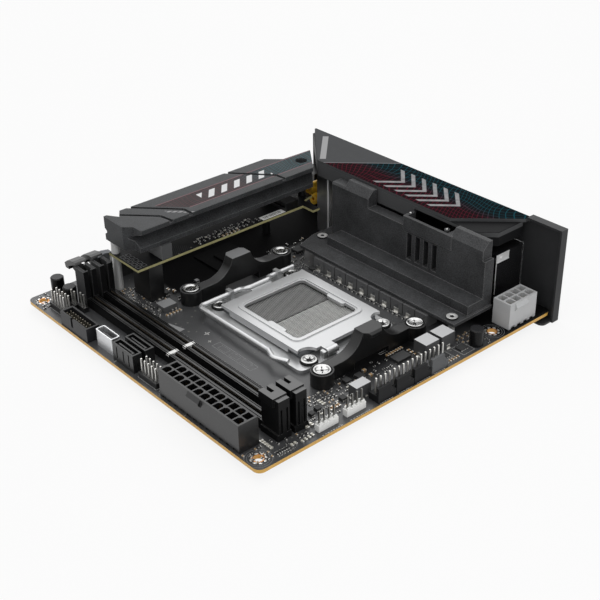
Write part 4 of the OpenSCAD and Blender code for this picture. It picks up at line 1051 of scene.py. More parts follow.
class Scatter(Group):
    """Geometry nodes that set a part on every spot, sized and turned by the spot's own values."""

    def __init__(self) -> None:
        """Builds the node tree once."""
        super().__init__(
            "scatter_parts", "GeometryNodeTree", {"Spots": "Geometry", "Part": "Object"},
            {"Parts": "Geometry"},
        )
        part = self.node("GeometryNodeObjectInfo", {"Object": self.given["Part"]})
        size, turn = (
            self.node("GeometryNodeInputNamedAttribute", {"Name": name}, data_type="FLOAT_VECTOR").outputs[0]
            for name in ("size", "turn")
        )
        copies = self.node("GeometryNodeInstanceOnPoints", {
            "Points": self.given["Spots"], "Instance": part.outputs["Geometry"],
            "Rotation": turn, "Scale": size,
        })
        real = self.node("GeometryNodeRealizeInstances", {0: copies.outputs[0]})
        self.node("NodeGroupOutput", {"Parts": real.outputs[0]})

    def piece(
        self, name: str, part: Solid, spots: Sequence[Spot], slot: str, *finishes: Finish
    ) -> bpy.types.Object:
        """Makes one piece of all the copies.

        Args:
            name: The piece's name.
            part: The part to repeat, standing at the origin.
            spots: Where the copies stand.
            slot: Not used.
            finishes: The part's finish, and that of its capped faces.

        Returns:
            The piece.
        """
        points = bpy.data.meshes.new(f"{name}_spots")
        points.from_pydata([s.place for s in spots], [], [])
        turns = [(0.0, 0.0, math.radians(s.turn)) for s in spots]
        for label, values in (("size", [s.size for s in spots]), ("turn", turns)):
            layer = points.attributes.new(label, "FLOAT_VECTOR", "POINT")
            layer.data.foreach_set("vector", [number for value in values for number in value])
        holder = bpy.data.objects.new(f"{name}_holder", points)
        pattern = bpy.data.objects.new(f"{name}_pattern", part.mesh(*finishes))
        for made in (holder, pattern):
            bpy.context.collection.objects.link(made)
        modifier = holder.modifiers.new("scatter", "NODES")
        modifier.node_group = self.tree
        modifier[self.keys["Part"]] = pattern
        graph = bpy.context.evaluated_depsgraph_get()
        mesh = bpy.data.meshes.new_from_object(holder.evaluated_get(graph))
        holder.modifiers.remove(modifier)
        for made in (holder, pattern):
            bpy.data.objects.remove(made)
        mesh.name = name
        return place_piece(name, mesh, "board", slot)


SCATTER = Scatter()
# A small part a millimetre long, wide and high: half of a package's outline with cut corners, its foot and
# its legs, then the body and the two ends of a plain part
CHIP_CORNERS = ((0.44, 0.38), (0.38, 0.44), (-0.38, 0.44), (-0.44, 0.38))
CHIP_FOOT = 0.12
LEG_YS = (-0.33, -0.11, 0.11, 0.33)
LEG_XS = ((-0.5, -0.44), (0.44, 0.5))
LEG_HALF = 0.06
LEG_TOP = 0.3
PLAIN_BODY = ((-0.3, -0.48, 0.02), (0.3, 0.48, 0.97))
PLAIN_ENDS = (((-0.5, -0.5, 0.0), (-0.3, 0.5, 1.0)), ((0.3, -0.5, 0.0), (0.5, 0.5, 1.0)))


class ChipForm(Enum):
    """Kinds of small part soldered to the boards: name and finish."""

    CAPACITOR = ("capacitors", Finishes.CERAMIC)
    RESISTOR = ("resistors", Finishes.RESISTOR)
    BEAD = ("beads", Finishes.PALE_BEAD)
    PACKAGE = ("packages", Finishes.CHIP)
    BLOCK = ("blocks", Finishes.INDUCTOR)

    def part(self) -> Solid:
        """Makes one part, a millimetre long, wide and high, with its bright ends or legs as caps.

        Returns:
            The part.
        """
        made = Solid(self.value[0], ORIGIN)
        if self in (ChipForm.PACKAGE, ChipForm.BLOCK):
            corners = [(x * s, y * s) for s in (-1, 1) for x, y in CHIP_CORNERS]
            made.prism(corners, CHIP_FOOT, 1.0)
            for y in LEG_YS:
                for left, right in LEG_XS:
                    made.box((left, y - LEG_HALF, 0.0), (right, y + LEG_HALF, LEG_TOP), cap=True)
            return made
        made.box(*PLAIN_BODY)
        for end in PLAIN_ENDS:
            made.box(*end, cap=True)
        return made


@dataclass
class Patch:
    """A patch of small parts strewn on the board, kept apart from one another."""

    left: float
    right: float
    front: float
    back: float
    count: int
    form: ChipForm
    size: Triple = (1.6, 0.8, 0.6)
    floor: float = 0.0
    tries: int = 14
    reach: float = 0.72

    def spots(self, chance: random.Random, taken: list[Triple]) -> list[Spot]:
        """Strews the parts on a half-millimetre raster.

        Args:
            chance: The random numbers to use.
            taken: Places and radii already in use, added to.

        Returns:
            The spots.
        """
        found: list[Spot] = []
        reach = self.size[0] * self.reach
        for _ in range(self.count * self.tries):
            if len(found) == self.count:
                break
            x = round(chance.uniform(self.left, self.right) * 2) / 2
            y = round(chance.uniform(self.front, self.back) * 2) / 2
            if any(math.hypot(x - u, y - v) < reach + r for u, v, r in taken):
                continue
            taken.append((x, y, reach))
            found.append(Spot(at(x, y, self.floor), self.size, chance.choice((0, 90))))
        return found


@dataclass
class Row:
    """A straight row of small parts."""

    start: Place
    end: Place
    count: int
    form: ChipForm
    size: Triple = (1.8, 0.9, 0.6)
    turn: float = 0.0
    floor: float = 0.0

    def spots(self) -> list[Spot]:
        """Gives the row's spots, evenly spaced.

        Returns:
            The spots.
        """
        found = []
        for i in range(self.count):
            share = i / max(1, self.count - 1)
            x, y = (a + (b - a) * share for a, b in zip(self.start, self.end))
            found.append(Spot(at(x, y, self.floor), self.size, self.turn))
        return found


@dataclass
class SmallParts:
    """The small soldered parts of both boards."""

    seed: int = 7
    keep_free: float = 0.6

    @staticmethod
    def rows() -> list[Row]:
        """Lists the rows that can be made out in the photograph.

        Returns:
            The rows, and the single parts as rows of one.
        """
        tan, dark, pale = ChipForm.CAPACITOR, ChipForm.RESISTOR, ChipForm.BEAD
        chips = (
            (-44.8, -34.8, 3.2, 2.6, 1.7), (70.9, -43.4, 2.8, 2.8, 1.6), (71.9, -47.4, 2.6, 2.4, 1.4),
            (64.4, -21.6, 3.6, 3.4, 1.4), (65.3, -15.1, 4.2, 4.0, 1.1), (72.2, -31.0, 3.2, 3.0, 1.3),
            (78.9, 32.0, 4.2, 5.2, 0.9), (78.3, 21.8, 3.6, 4.4, 0.9), (-16.7, 31.6, 4.2, 3.4, 1.0),
        )
        return [
            *(Row((x, y), (x, y), 1, ChipForm.PACKAGE, tuple(size)) for x, y, *size in chips),
            Row((-44.6, -17.2), (-44.6, -17.2), 1, ChipForm.BLOCK, (2.6, 2.2, 1.2)),
            Row((-45.1, -42.5), (-46.4, -37.3), 4, tan),
            Row((-47.2, -31.9), (-44.3, -30.6), 2, tan, (2.0, 1.2, 0.9)),
            Row((-42.6, -46.9), (-38.1, -46.9), 3, dark, turn=90),
            Row((-28.6, -45.6), (-28.6, -38.4), 5, tan),
            Row((67.2, -36.7), (68.6, -31.8), 4, dark),
            Row((74.3, -39.8), (74.3, -35.2), 4, tan, (2.2, 0.9, 0.9)),
            Row((63.7, -11.1), (67.9, -11.3), 2, tan, (2.0, 1.3, 1.1), 90),
            Row((61.9, 4.2), (61.7, 13.0), 7, tan, (1.7, 0.8, 0.7)),
            Row((65.0, 13.9), (69.0, 13.9), 3, tan, turn=90),
            Row((82.5, 17.8), (82.5, 26.0), 6, tan, (1.5, 0.8, 0.6)),
            Row((71.7, -72.7), (77.4, -72.7), 5, pale, (1.7, 1.0, 0.7), 90),
            Row((81.4, -73.3), (81.4, -67.8), 6, dark, (2.0, 0.6, 0.5)),
            Row((81.4, -65.6), (81.3, -63.9), 2, pale, (1.8, 1.0, 0.7)),
            Row((83.3, -73.0), (83.4, -66.2), 6, dark, (1.0, 0.5, 0.4), 90),
            Row((82.3, -61.2), (81.8, -55.7), 4, pale, (1.7, 0.9, 0.7)),
            Row((77.0, -54.2), (76.8, -51.8), 2, pale, (2.0, 1.2, 1.0)),
            Row((79.4, -60.5), (79.4, -56.5), 3, dark, (1.5, 0.7, 0.5)),
            Row((66.8, -39.0), (69.6, -39.0), 3, pale, turn=90),
            Row((-8.0, 30.9), (54.0, 30.9), 22, dark, (1.6, 0.8, 0.6), 90),
            Row((-43.4, -1.0), (-43.4, 8.0), 5, tan, (1.5, 0.8, 0.6), 0, RISER_TOP),
        ]

    @staticmethod
    def patches() -> list[Patch]:
        """Lists the strewn patches in the order of their random draws.

        Returns:
            The patches.
        """
        tan, dark, pale = ChipForm.CAPACITOR, ChipForm.RESISTOR, ChipForm.BEAD
        thin, tiny = (1.3, 0.7, 0.5), (1.0, 0.5, 0.4)
        on_riser = (-49.5, -44.5, -16.0, 22.0)
        return [
            Patch(-62, -30, -50, -37, 44, dark, thin), Patch(-62, -30, -50, -37, 18, tan, thin),
            Patch(-62, -34, -50, -36, 10, pale, thin), Patch(62, 79, -53, -20, 16, pale, thin),
            Patch(61, 79, -53, -18, 40, dark, thin), Patch(61, 79, -53, -18, 22, tan, thin),
            Patch(60, 70, -13, 3, 10, dark, thin), Patch(72, 79, 33, 46, 16, tan, thin),
            Patch(72, 79, 33, 46, 10, dark, thin), Patch(75.5, 84, 44, 47, 5, dark, tiny),
            Patch(-45, -27, 26, 52, 30, dark, thin), Patch(-45, -27, 26, 52, 12, tan, thin),
            Patch(-26, -8, 27, 32, 12, dark, tiny), Patch(-40, -31, -34, -4, 18, dark, thin),
            Patch(-40, -31, -34, -4, 8, tan, thin),
            Patch(*on_riser, 30, dark, thin, RISER_TOP), Patch(*on_riser, 14, pale, thin, RISER_TOP),
            Patch(-84, -70, -84, -74, 12, dark, thin), Patch(16, 19.5, -84, -76, 5, dark, tiny),
            Patch(73.5, 83, -84, -55, 14, dark, thin), Patch(73.5, 83, -84, -55, 8, tan, thin),
        ]

    def build(self) -> None:
        """Makes one piece for each form of part."""
        chance = random.Random(self.seed)
        found: dict[ChipForm, list[Spot]] = {form: [] for form in ChipForm}
        taken: list[Triple] = []
        for row in self.rows():
            spots = row.spots()
            found[row.form] += spots
            taken += [spot.taken(max(row.size[:2]) * self.keep_free) for spot in spots]
        for patch in self.patches():
            found[patch.form] += patch.spots(chance, taken)
        for form, spots in found.items():
            name, finish = form.value
            SCATTER.piece(f"small_{name}", form.part(), spots, "chip", finish, Finishes.TIN)


@dataclass
class SpringContacts:
    """The leaning spring contacts in the two halves of the processor socket."""

    floor: float = 3.2
    first: float = 1.2
    pitch: Place = (0.94, 0.7614)
    columns: int = 20
    rows: int = 46
    foot: tuple[Place, ...] = ((-0.2, -0.16), (0.2, -0.16), (0.2, 0.16), (-0.2, 0.16))
    lean: float = 0.16
    levels: tuple[Triple, ...] = ((0.0, 1.0, 0.0), (1.0, 0.8, 0.34), (2.4, 0.5, 0.5))

    def _half(self, label: str, side: int, finish: Finish) -> None:
        """Makes the contacts of one half, each a blade that leans to its side.

        Args:
            label: The half's name.
            side: 1 to the right of the socket's centre and -1 to the left.
            finish: The contacts' finish.
        """
        blade = Solid(f"contact_{label}", ORIGIN)
        blade.loft([
            [(x + side * self.lean * bend, y * width, z) for x, y in self.foot]
            for bend, width, z in self.levels
        ])
        x, y = SOCKET_CENTRE
        middle = (self.rows - 1) / 2
        spots = []
        for i in range(self.columns):
            across = side * (self.first + i * self.pitch[0])
            for j in range(self.rows):
                along = (j - middle + i % 2 / 2) * self.pitch[1]
                spots.append(Spot(at(x + across, y + along, self.floor)))
        SCATTER.piece(f"spring_contacts_{label}", blade, spots, "contact_grey", finish)

    def build(self) -> None:
        """Makes one piece for each half, leaning opposite ways, the left in painted shade and the right in
        painted light.
        """
        self._half("left", -1, Finishes.SPRING_DARK)
        self._half("right", 1, Finishes.SPRING_LIT)


class SlotFace(Enum):
    """Kinds of face on a memory slot, each with its finish; the towers' faces take painted light."""

    TOP = Finishes.SLOT
    RAIL = Finishes.RAIL
    SIDE = Finishes.SLOT_SIDE
    LATCH_TOWER = Finishes.TOWER_LIT


@dataclass
class MemorySlots:
    """The memory slots with squared latch towers, and a finish for each kind of face, with painted light on
    the towers.
    """

    nodes: tuple[str, str] = ("dimm_slot_a", "dimm_slot_b")
    rail_top: float = 4.65
    cheek: Place = (1.7, 3.4)
    corner: Place = (-67.0, 18.2)
    cut: float = 2.0
    tower_right: float = -59.0
    steep: float = 0.5

    def _kind(self, face: bmesh.types.BMFace) -> SlotFace:
        """Tells which kind of face it is.

        Args:
            face: A face of the slot.

        Returns:
            Its kind.
        """
        low = max(v.co.z for v in face.verts) < at(0.0, 0.0, self.rail_top).z
        on_tower = face.calc_center_median().x < at(self.tower_right, 0.0).x
        shown = face.normal.z >= self.steep or face.normal.y < -self.steep
        # The towers' upward and front faces take the painted light
        if not low and on_tower and shown:
            return SlotFace.LATCH_TOWER
        if face.normal.z < self.steep:
            return SlotFace.SIDE
        return SlotFace.RAIL if low else SlotFace.TOP

    def build(self) -> None:
        """Makes a piece for each slot in its place."""
        kinds = list(SlotFace)
        x, z = self.corner
        outline = ((x, z - self.cut), (x + self.cut, z), (x, z))
        for node, y in zip(self.nodes, SLOT_YS):
            made = Solid(f"{node}_dressed")
            made.bm.from_mesh(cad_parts[node].data)
            bmesh.ops.remove_doubles(made.bm, verts=made.bm.verts, dist=MERGE_M)
            for side in (-1, 1):
                made.slab(outline, *(y + side * reach for reach in self.cheek))
            made.bm.normal_update()
            for face in made.bm.faces:
                face.material_index = kinds.index(self._kind(face))
            piece = made.piece("board", "black_plastic", *(kind.value for kind in kinds))
            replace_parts(piece, node)


@dataclass
class LatchWebs:
    """The webs that stiffen the arms of the memory latches."""

    bodies: tuple[str, str] = ("dimm_latch_a", "dimm_latch_b")
    pin: Place = (-64.0, 4.0)
    lean_deg: float = 26.0
    half: float = 1.6
    outline: tuple[Place, ...] = ((0.6, 8.6), (2.0, 8.6), (3.25, 11.0), (3.25, 14.1), (0.6, 14.1))

    def build(self) -> None:
        """Makes a web on each latch, leaning as the open latch does."""
        cos, sin = (turn(math.radians(self.lean_deg)) for turn in (math.cos, math.sin))
        left, low = self.pin
        leant = [(left + x * cos - z * sin, low + x * sin + z * cos) for x, z in self.outline]
        for body, y in zip(self.bodies, SLOT_YS):
            web = Solid(f"{body}_web")
            web.slab(leant, y - self.half, y + self.half)
            web.piece(body, "black_plastic", Finishes.SLOT_SIDE)


@dataclass
class PortTrim:
    """A bright seam, a painted highlight down a corner, and the spring plate on the metal shells of the port
    stacks.
    """

    seam: Box = ((-38.6, 61.1, 1.0), (-37.9, 61.42, 31.2))
    # A painted highlight down the port stack's corner
    edge: Box = ((65.8, 67.35, 7.0), (66.12, 67.7, 26.9))
    plate: Box = ((65.98, 67.7, 22.8), (66.14, 75.8, 26.9))
    lip: Place = (0.16, 0.5)
    boss: Place = (70.4, 24.8)
    boss_profile: tuple[Place, ...] = ((0.9, 0.0), (0.7, 0.3), (0.0, 0.4))
    boss_sides: int = 12

    def build(self) -> None:
        """Makes the seam of the network stack, and the painted corner highlight, plate, lips and boss of the
        port stack.
        """
        trim = Solid("port_trim")
        for low, high in (self.seam, self.edge, self.plate):
            trim.box(low, high)
        (_, front, bottom), (face, back, top) = self.plate
        out, tall = self.lip
        for low in (bottom, top - tall):
            trim.box((face, front, low), (face + out, back, low + tall))
        y, z = self.boss
        trim.loft([
            [(face + h, y + u, z + v) for u, v in circle(r, self.boss_sides)] for r, h in self.boss_profile
        ])
        trim.piece("board", "port_shell", Finishes.TRIM_AND_HIGHLIGHT)


@dataclass
class MemoryContacts:
    """Contact fingers along both walls of the memory slots, and the lines of painted groove shade along their
    rails.
    """

    left: float = -58.5
    right: float = 65.0
    pitch: float = 0.85
    key: Place = (1.9, 4.9)
    wall: float = 0.68
    top: float = 4.6
    grooves: Place = (2.0, 2.75)
    groove_half: float = 0.16
    groove_z: Place = (4.5, 4.63)
    pad_x: Place = (-60.4, -59.6)
    pad_y: Place = (1.2, 3.0)
    pad_rise: float = 0.02
    finger: Box = ((-0.2, 0.0, -0.9), (0.2, 0.14, -0.05))
    finger_tops: tuple[Box, Box] = (
        ((-0.22, 0.0, -0.02), (0.22, 0.3, 0.03)), ((-0.22, 1.25, -0.02), (0.22, 1.5, 0.03)),
    )

    def _rail_lines(self) -> None:
        """Makes the dark lines of painted groove shade along the rails and the pale pads at the rails' ends.
        """
        made = Solid("rail_lines")
        low, high = self.groove_z
        for y in SLOT_YS:
            for side in (-1, 1):
                for reach in self.grooves:
                    middle = y + side * reach
                    front, back = middle - self.groove_half, middle + self.groove_half
                    made.box((self.left, front, low), (self.right, back, high))
                front, back = sorted(y + side * reach for reach in self.pad_y)
                made.box((self.pad_x[0], front, low), (self.pad_x[1], back, high + self.pad_rise), cap=True)
        made.piece("board", "black_plastic", Finishes.GROOVE_SHADE, Finishes.MID_GREY)

    def build(self) -> None:
        """Makes the lines, then one piece of all the fingers."""
        self._rail_lines()
        finger = Solid("finger", ORIGIN)
        finger.box(*self.finger)
        for top in self.finger_tops:
            finger.box(*top, cap=True)
        places = [self.left + i * self.pitch for i in range(int((self.right - self.left) / self.pitch))]
        places = [x for x in places if not self.key[0] < x < self.key[1]]
        spots = [
            Spot(at(x, y + side * self.wall, self.top), turn=turn)
            for y in SLOT_YS for x in places for side, turn in ((1, 0), (-1, 180))
        ]
        SCATTER.piece("memory_contacts", finger, spots, "gold", Finishes.FINGER, Finishes.FINGER_TOP)


@dataclass
class CardContacts:
    """Contact blades along both walls of the card slot."""

    x: float = -76.8
    wall: float = 0.88
    first: float = -38.0
    pitch: float = 1.0
    count: int = 82
    notch: tuple[int, int] = (11, 12)
    top: float = 11.2
    blade: tuple[Box, Box] = (
        ((-0.35, 0.0, -2.4), (0.35, 0.12, -0.4)), ((-0.3, 0.12, -1.6), (0.3, 0.2, -1.0)),
    )

    def build(self) -> None:
        """Makes one piece of all the blades."""
        blade = Solid("blade", ORIGIN)
        for block in self.blade:
            blade.box(*block)
        spots = [
            Spot(at(self.x + side * self.wall, self.first + i * self.pitch, self.top), turn=-90 * side)
            for i in range(self.count) if i not in self.notch for side in (-1, 1)
        ]
        SCATTER.piece("card_contacts", blade, spots, "gold", Finishes.GOLD)


@dataclass
class ChokeClips:
    """Tinned clips down the front of the chokes, and the leads of the block inductors."""

    first: float = -13.75
    pitch: float = 7.5
    count: int = 10
    front: float = 33.0
    tall_leads: tuple[Triple, ...] = ((74.6, -27.85, 0.0), (71.4, 14.2, 0.0), (75.0, 27.8, 90.0))
    low_leads: tuple[Triple, ...] = ((-34.4, -45.4, 0.0), (-34.4, -38.2, 180.0))
    low: Triple = (1.0, 1.0, 0.6)
    clip: tuple[Box, Box] = (((-1.3, -0.3, 0.0), (1.3, 0.0, 2.4)), ((-1.7, -1.0, 0.0), (1.7, -0.3, 0.3)))
    clip_top: Box = ((-0.8, -0.22, 2.4), (0.8, 0.0, 4.2))
    lead: tuple[Box, Box] = (((-1.0, -0.35, 0.0), (1.0, 0.0, 1.9)), ((-1.3, -0.8, 0.0), (1.3, -0.35, 0.25)))

    def build(self) -> None:
        """Makes one piece of all the clips and one of the leads."""
        clip = Solid("clip", ORIGIN)
        for block in self.clip:
            clip.box(*block)
        clip.box(*self.clip_top, cap=True)
        spots = [Spot(at(self.first + i * self.pitch, self.front)) for i in range(self.count)]
        SCATTER.piece("choke_clips", clip, spots, "chip", Finishes.TIN, Finishes.MID_GREY)
        lead = Solid("lead", ORIGIN)
        for block in self.lead:
            lead.box(*block)
        spots = [Spot(at(x, y), turn=turn) for x, y, turn in self.tall_leads]
        spots += [Spot(at(x, y), self.low, turn) for x, y, turn in self.low_leads]
        SCATTER.piece("inductor_leads", lead, spots, "chip", Finishes.TIN)


@dataclass
class LightHeaders:
    """The raised collars round the pins of the white lighting headers."""

    x: float = 81.19
    ys: Place = (-47.8, -33.0)
    top: float = 3.0
    pins: int = 4
    half: Triple = (0.42, 1.15, 0.8)
    height: float = 0.9

    def build(self) -> None:
        """Makes one piece of all the collars."""
        inner, outer, deep = self.half
        collar = Solid("collar", ORIGIN)
        for low, high in ((-outer, -inner), (inner, outer)):
            collar.box((low, -deep, 0.0), (high, deep, self.height))
        middle = (self.pins - 1) / 2
        spots = [
            Spot(at(self.x, y + (i - middle) * PIN_PITCH, self.top))
            for y in self.ys for i in range(self.pins)
        ]
        SCATTER.piece("header_collars", collar, spots, "white_plastic", Finishes.WHITE)


@dataclass
class PocketScrews:
    """The small screws at the ends of the heatsink's open pocket, one on a boss."""

    places: tuple[Place, Place] = ((23.3, 56.6), (45.7, 56.6))
    rim: float = 36.2
    floor: float = 31.6
    head: tuple[Place, ...] = (
        (0.0, 0.0), (0.65, 0.0), (0.65, 0.25), (0.45, 0.45), (0.25, 0.45), (0.2, 0.2), (0.0, 0.2),
    )
    head_sides: int = 14
    boss_foot: tuple[Place, ...] = ((0.0, 0.0), (1.7, 0.0), (1.5, 0.6))
    boss_top_r: float = 1.3
    boss_sides: int = 18

    def build(self) -> None:
        """Makes the two screws and the boss."""
        made = Solid("pocket_screws")
        for place in self.places:
            made.lathe(self.head, self.head_sides, (*place, self.rim))
        made.piece("board", "bright_steel", Finishes.SCREW)
        boss = Solid("pocket_boss")
        tall = self.rim - self.floor
        profile = (*self.boss_foot, (self.boss_top_r, tall), (0.0, tall))
        boss.lathe(profile, self.boss_sides, (*self.places[1], self.floor))
        boss.piece("board", "heatsink_dark", Finishes.HEATSINK)


@dataclass
class Screws:
    """Screws of one kind, with the dished head and star recess that their solids leave out.

    The stem has a radius and its two ends. The rim and the dish are radii and heights. The star has a long
    and a short radius and its floor. Shaded slits are the sides of the recess that are painted dark as shade,
    counted from each point of the star. The shaded bands, counted from the stem, are painted shade too.
    """

    node: str
    finish: Finish
    places: tuple[Place, ...]
    stem: Triple
    rim: tuple[Place, ...]
    dish: Place
    star: Triple
    points: int
    shaded_slits: tuple[int, ...] = (0,)
    dark_bands: tuple[int, ...] = (2, 3)
    sides: int = 24
    drop: float = 0.12
    taper: Place = (0.6, 0.7)

    def _ring(self, place: Place, radii: Place, height: float) -> list[Triple]:
        """Gives a ring of corners.

        Args:
            place: The screw's place on the board.
            radii: The radius at the star's points, and that between them.
            height: The ring's height.

        Returns:
            The corners.
        """
        step = self.sides // self.points
        turns = [circle(radius, self.sides) for radius in radii]
        corners = [turns[0 if i % step == 0 else 1][i] for i in range(self.sides)]
        return [(place[0] + x, place[1] + y, height) for x, y in corners]

    def _screw(self, solid: Solid, place: Place) -> None:
        """Adds one screw: stem, head, dish and recess.

        Args:
            solid: The mesh to add to.
            place: The screw's place on the board.
        """
        radius, low, high = self.stem
        long, short, depth = self.star
        rounds = ((radius, low), (radius, high), *self.rim, self.dish)
        rings = [self._ring(place, (r, r), z) for r, z in rounds]
        rings.append(self._ring(place, (long, short), self.dish[1] - self.drop))
        rings.append(self._ring(place, (long * self.taper[0], short * self.taper[1]), depth))
        *bands, _, floor = solid.loft(rings)
        walls, recess = bands[-1], bands[-2:]
        step = self.sides // self.points
        # The recess floor and walls, the shaded bands and the shaded slits are painted shade
        dark = [*floor, *walls, *(face for i in self.dark_bands for face in bands[i])]
        dark += [face for band in recess for i, face in enumerate(band) if i % step in self.shaded_slits]
        for face in dark:
            face.material_index = 1

    def build(self) -> None:
        """Makes the piece that stands for the plain screws."""
        made = Solid(f"{self.node}_dressed")
        for place in self.places:
            self._screw(made, place)
        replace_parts(made.piece("board", "bright_steel", self.finish, Finishes.RECESS_SHADE), self.node)


SCREWS = (
    Screws(
        "cooler_screws", Finishes.SCREW, ((-31.37, -29.87), (58.63, -29.87), (-31.37, 24.11), (58.63, 24.11)),
        (1.75, -1.6, 5.8), ((4.0, 5.8), (4.0, 6.9), (3.75, 7.35), (3.4, 7.5), (3.1, 7.4)), (2.5, 6.85),
        (1.1, 0.6, 6.2), 4, shaded_slits=(3,),
    ),
    Screws(
        "socket_screws", Finishes.SCREW, ((-16.97, -24.38), (44.23, -24.38), (-16.97, 18.62), (44.23, 18.62)),
        (1.6, -1.6, 1.5), ((4.0, 1.5), (4.0, 1.9), (3.6, 2.85), (3.3, 3.0), (2.7, 3.0)), (2.3, 2.4),
        (1.8, 1.2, 2.0), 6,
    ),
    Screws(
        "vrm_screws", Finishes.NICKEL, ((67.7, 37.8), (-27.4, 47.8)), (1.5, 0.0, 8.0),
        ((2.7, 8.0), (2.7, 8.55), (2.55, 8.75), (2.3, 8.8)), (1.45, 8.8), (1.0, 0.9, 8.2), 6, shaded_slits=(),
    ),
)


@dataclass
class HoleRings:
    """Tinned petals round the standoff holes on both faces of the board, and the holes' plated rims."""

    petals: int = 8
    petal_reach: float = 3.0
    petal_size: Place = (0.85, 1.4)
    petal_profile: tuple[Place, ...] = ((0.0, 0.0), (0.62, 0.0), (0.5, 0.1), (0.0, 0.16))
    petal_sides: int = 10
    rim: Place = (2.4, 1.99)
    rim_rise: float = 0.03
    rim_sides: int = 28

    def build(self) -> None:
        """Makes one piece of petals and one of the plated rims."""
        petal = Solid("petal", ORIGIN)
        petal.lathe(self.petal_profile, self.petal_sides)
        spots = []
        for x, y in HOLES:
            for i in range(self.petals):
                turn = math.tau * (i + 0.5) / self.petals
                out = (x + self.petal_reach * math.cos(turn), y + self.petal_reach * math.sin(turn))
                for floor, way in ((0.0, 1.0), (-BOARD_T, -1.0)):
                    spots.append(Spot(at(*out, floor), (*self.petal_size, way), math.degrees(turn)))
        SCATTER.piece("hole_petals", petal, spots, "tin", Finishes.TIN)
        rims = Solid("hole_rims")
        for hole in HOLES:
            rims.tube(hole, self.rim, (-BOARD_T - self.rim_rise, self.rim_rise), self.rim_sides)
        rims.piece("board", "gold", Finishes.COPPER)


@dataclass
class SolderTails:
    """Soldered pin ends and small parts on the underside of the board."""

    seed: int = 11
    keep_free: float = 0.8
    profile: tuple[Place, ...] = ((0.0, 0.0), (0.62, 0.0), (0.34, -0.45), (0.2, -1.1), (0.0, -1.2))
    sides: int = 8
    part_size: Triple = (1.3, 0.7, 0.5)
    part_areas: tuple[tuple[int, ...], ...] = (
        (-80, -20, -50, 60, 60), (-3, 30, -18, 12, 70), (45, 74, -48, 60, 40),
    )

    @staticmethod
    def fields() -> list[tuple[float, float, int, int, float, float]]:
        """Lists the pin fields.

        Returns:
            First x and y, columns, rows and the two pitches of each field.
        """
        return [
            (-57.6, -66.4, 72, 3, 1.7, 1.4), (-57.6, -57.8, 72, 3, 1.7, 1.4), (23.3, -81.1, 12, 2, 4.2, 4.2),
            (76.3, 60.7, 2, 4, 4.2, 4.2), (-53.0, -82.3, 10, 2, 2.0, 2.0), (-12.2, -81.4, 7, 1, 1.6, 1.0),
            (-12.2, -75.1, 7, 1, 1.6, 1.0), (4.5, -81.3, 5, 2, PIN_PITCH, PIN_PITCH),
            (-71.1, -79.3, 5, 2, PIN_PITCH, PIN_PITCH), (81.5, -21.6, 1, 16, 1.0, PIN_PITCH),
            (81.2, -51.6, 1, 4, 1.0, PIN_PITCH), (81.2, -36.8, 1, 4, 1.0, PIN_PITCH),
            (-78.3, -38.0, 2, 41, 3.0, 2.0), (53.0, 69.5, 5, 4, 2.6, 2.5), (-44.5, 63.5, 5, 4, 2.8, 2.5),
            (30.0, 75.0, 8, 2, 1.8, 2.2), (-71.0, 75.0, 3, 3, 3.2, 3.0), (-56.0, -43.0, 7, 3, 2.0, 2.0),
            (-83.0, -70.4, 2, 1, 2.6, 1.0), (79.6, 39.2, 2, 1, 2.6, 1.0),
        ]

    def build(self) -> None:
        """Makes one piece of all the tails and one of the small parts between them."""
        tail = Solid("tail", ORIGIN)
        tail.lathe(self.profile, self.sides)
        spots = [
            Spot(at(x + i * dx, y + j * dy, -BOARD_T))
            for x, y, columns, rows, dx, dy in self.fields() for i in range(columns) for j in range(rows)
        ]
        SCATTER.piece("solder_tails", tail, spots, "tin", Finishes.TIN)
        form, chance = ChipForm.CAPACITOR, random.Random(self.seed)
        taken = [spot.taken(self.keep_free) for spot in spots]
        found = []
        for area in self.part_areas:
            found += Patch(*area, form, self.part_size, -BOARD_T).spots(chance, taken)
        for spot in found:
            spot.size = (*spot.size[:2], -spot.size[2])
        SCATTER.piece("underside_capacitors", form.part(), found, "chip", Finishes.CERAMIC, Finishes.TIN)


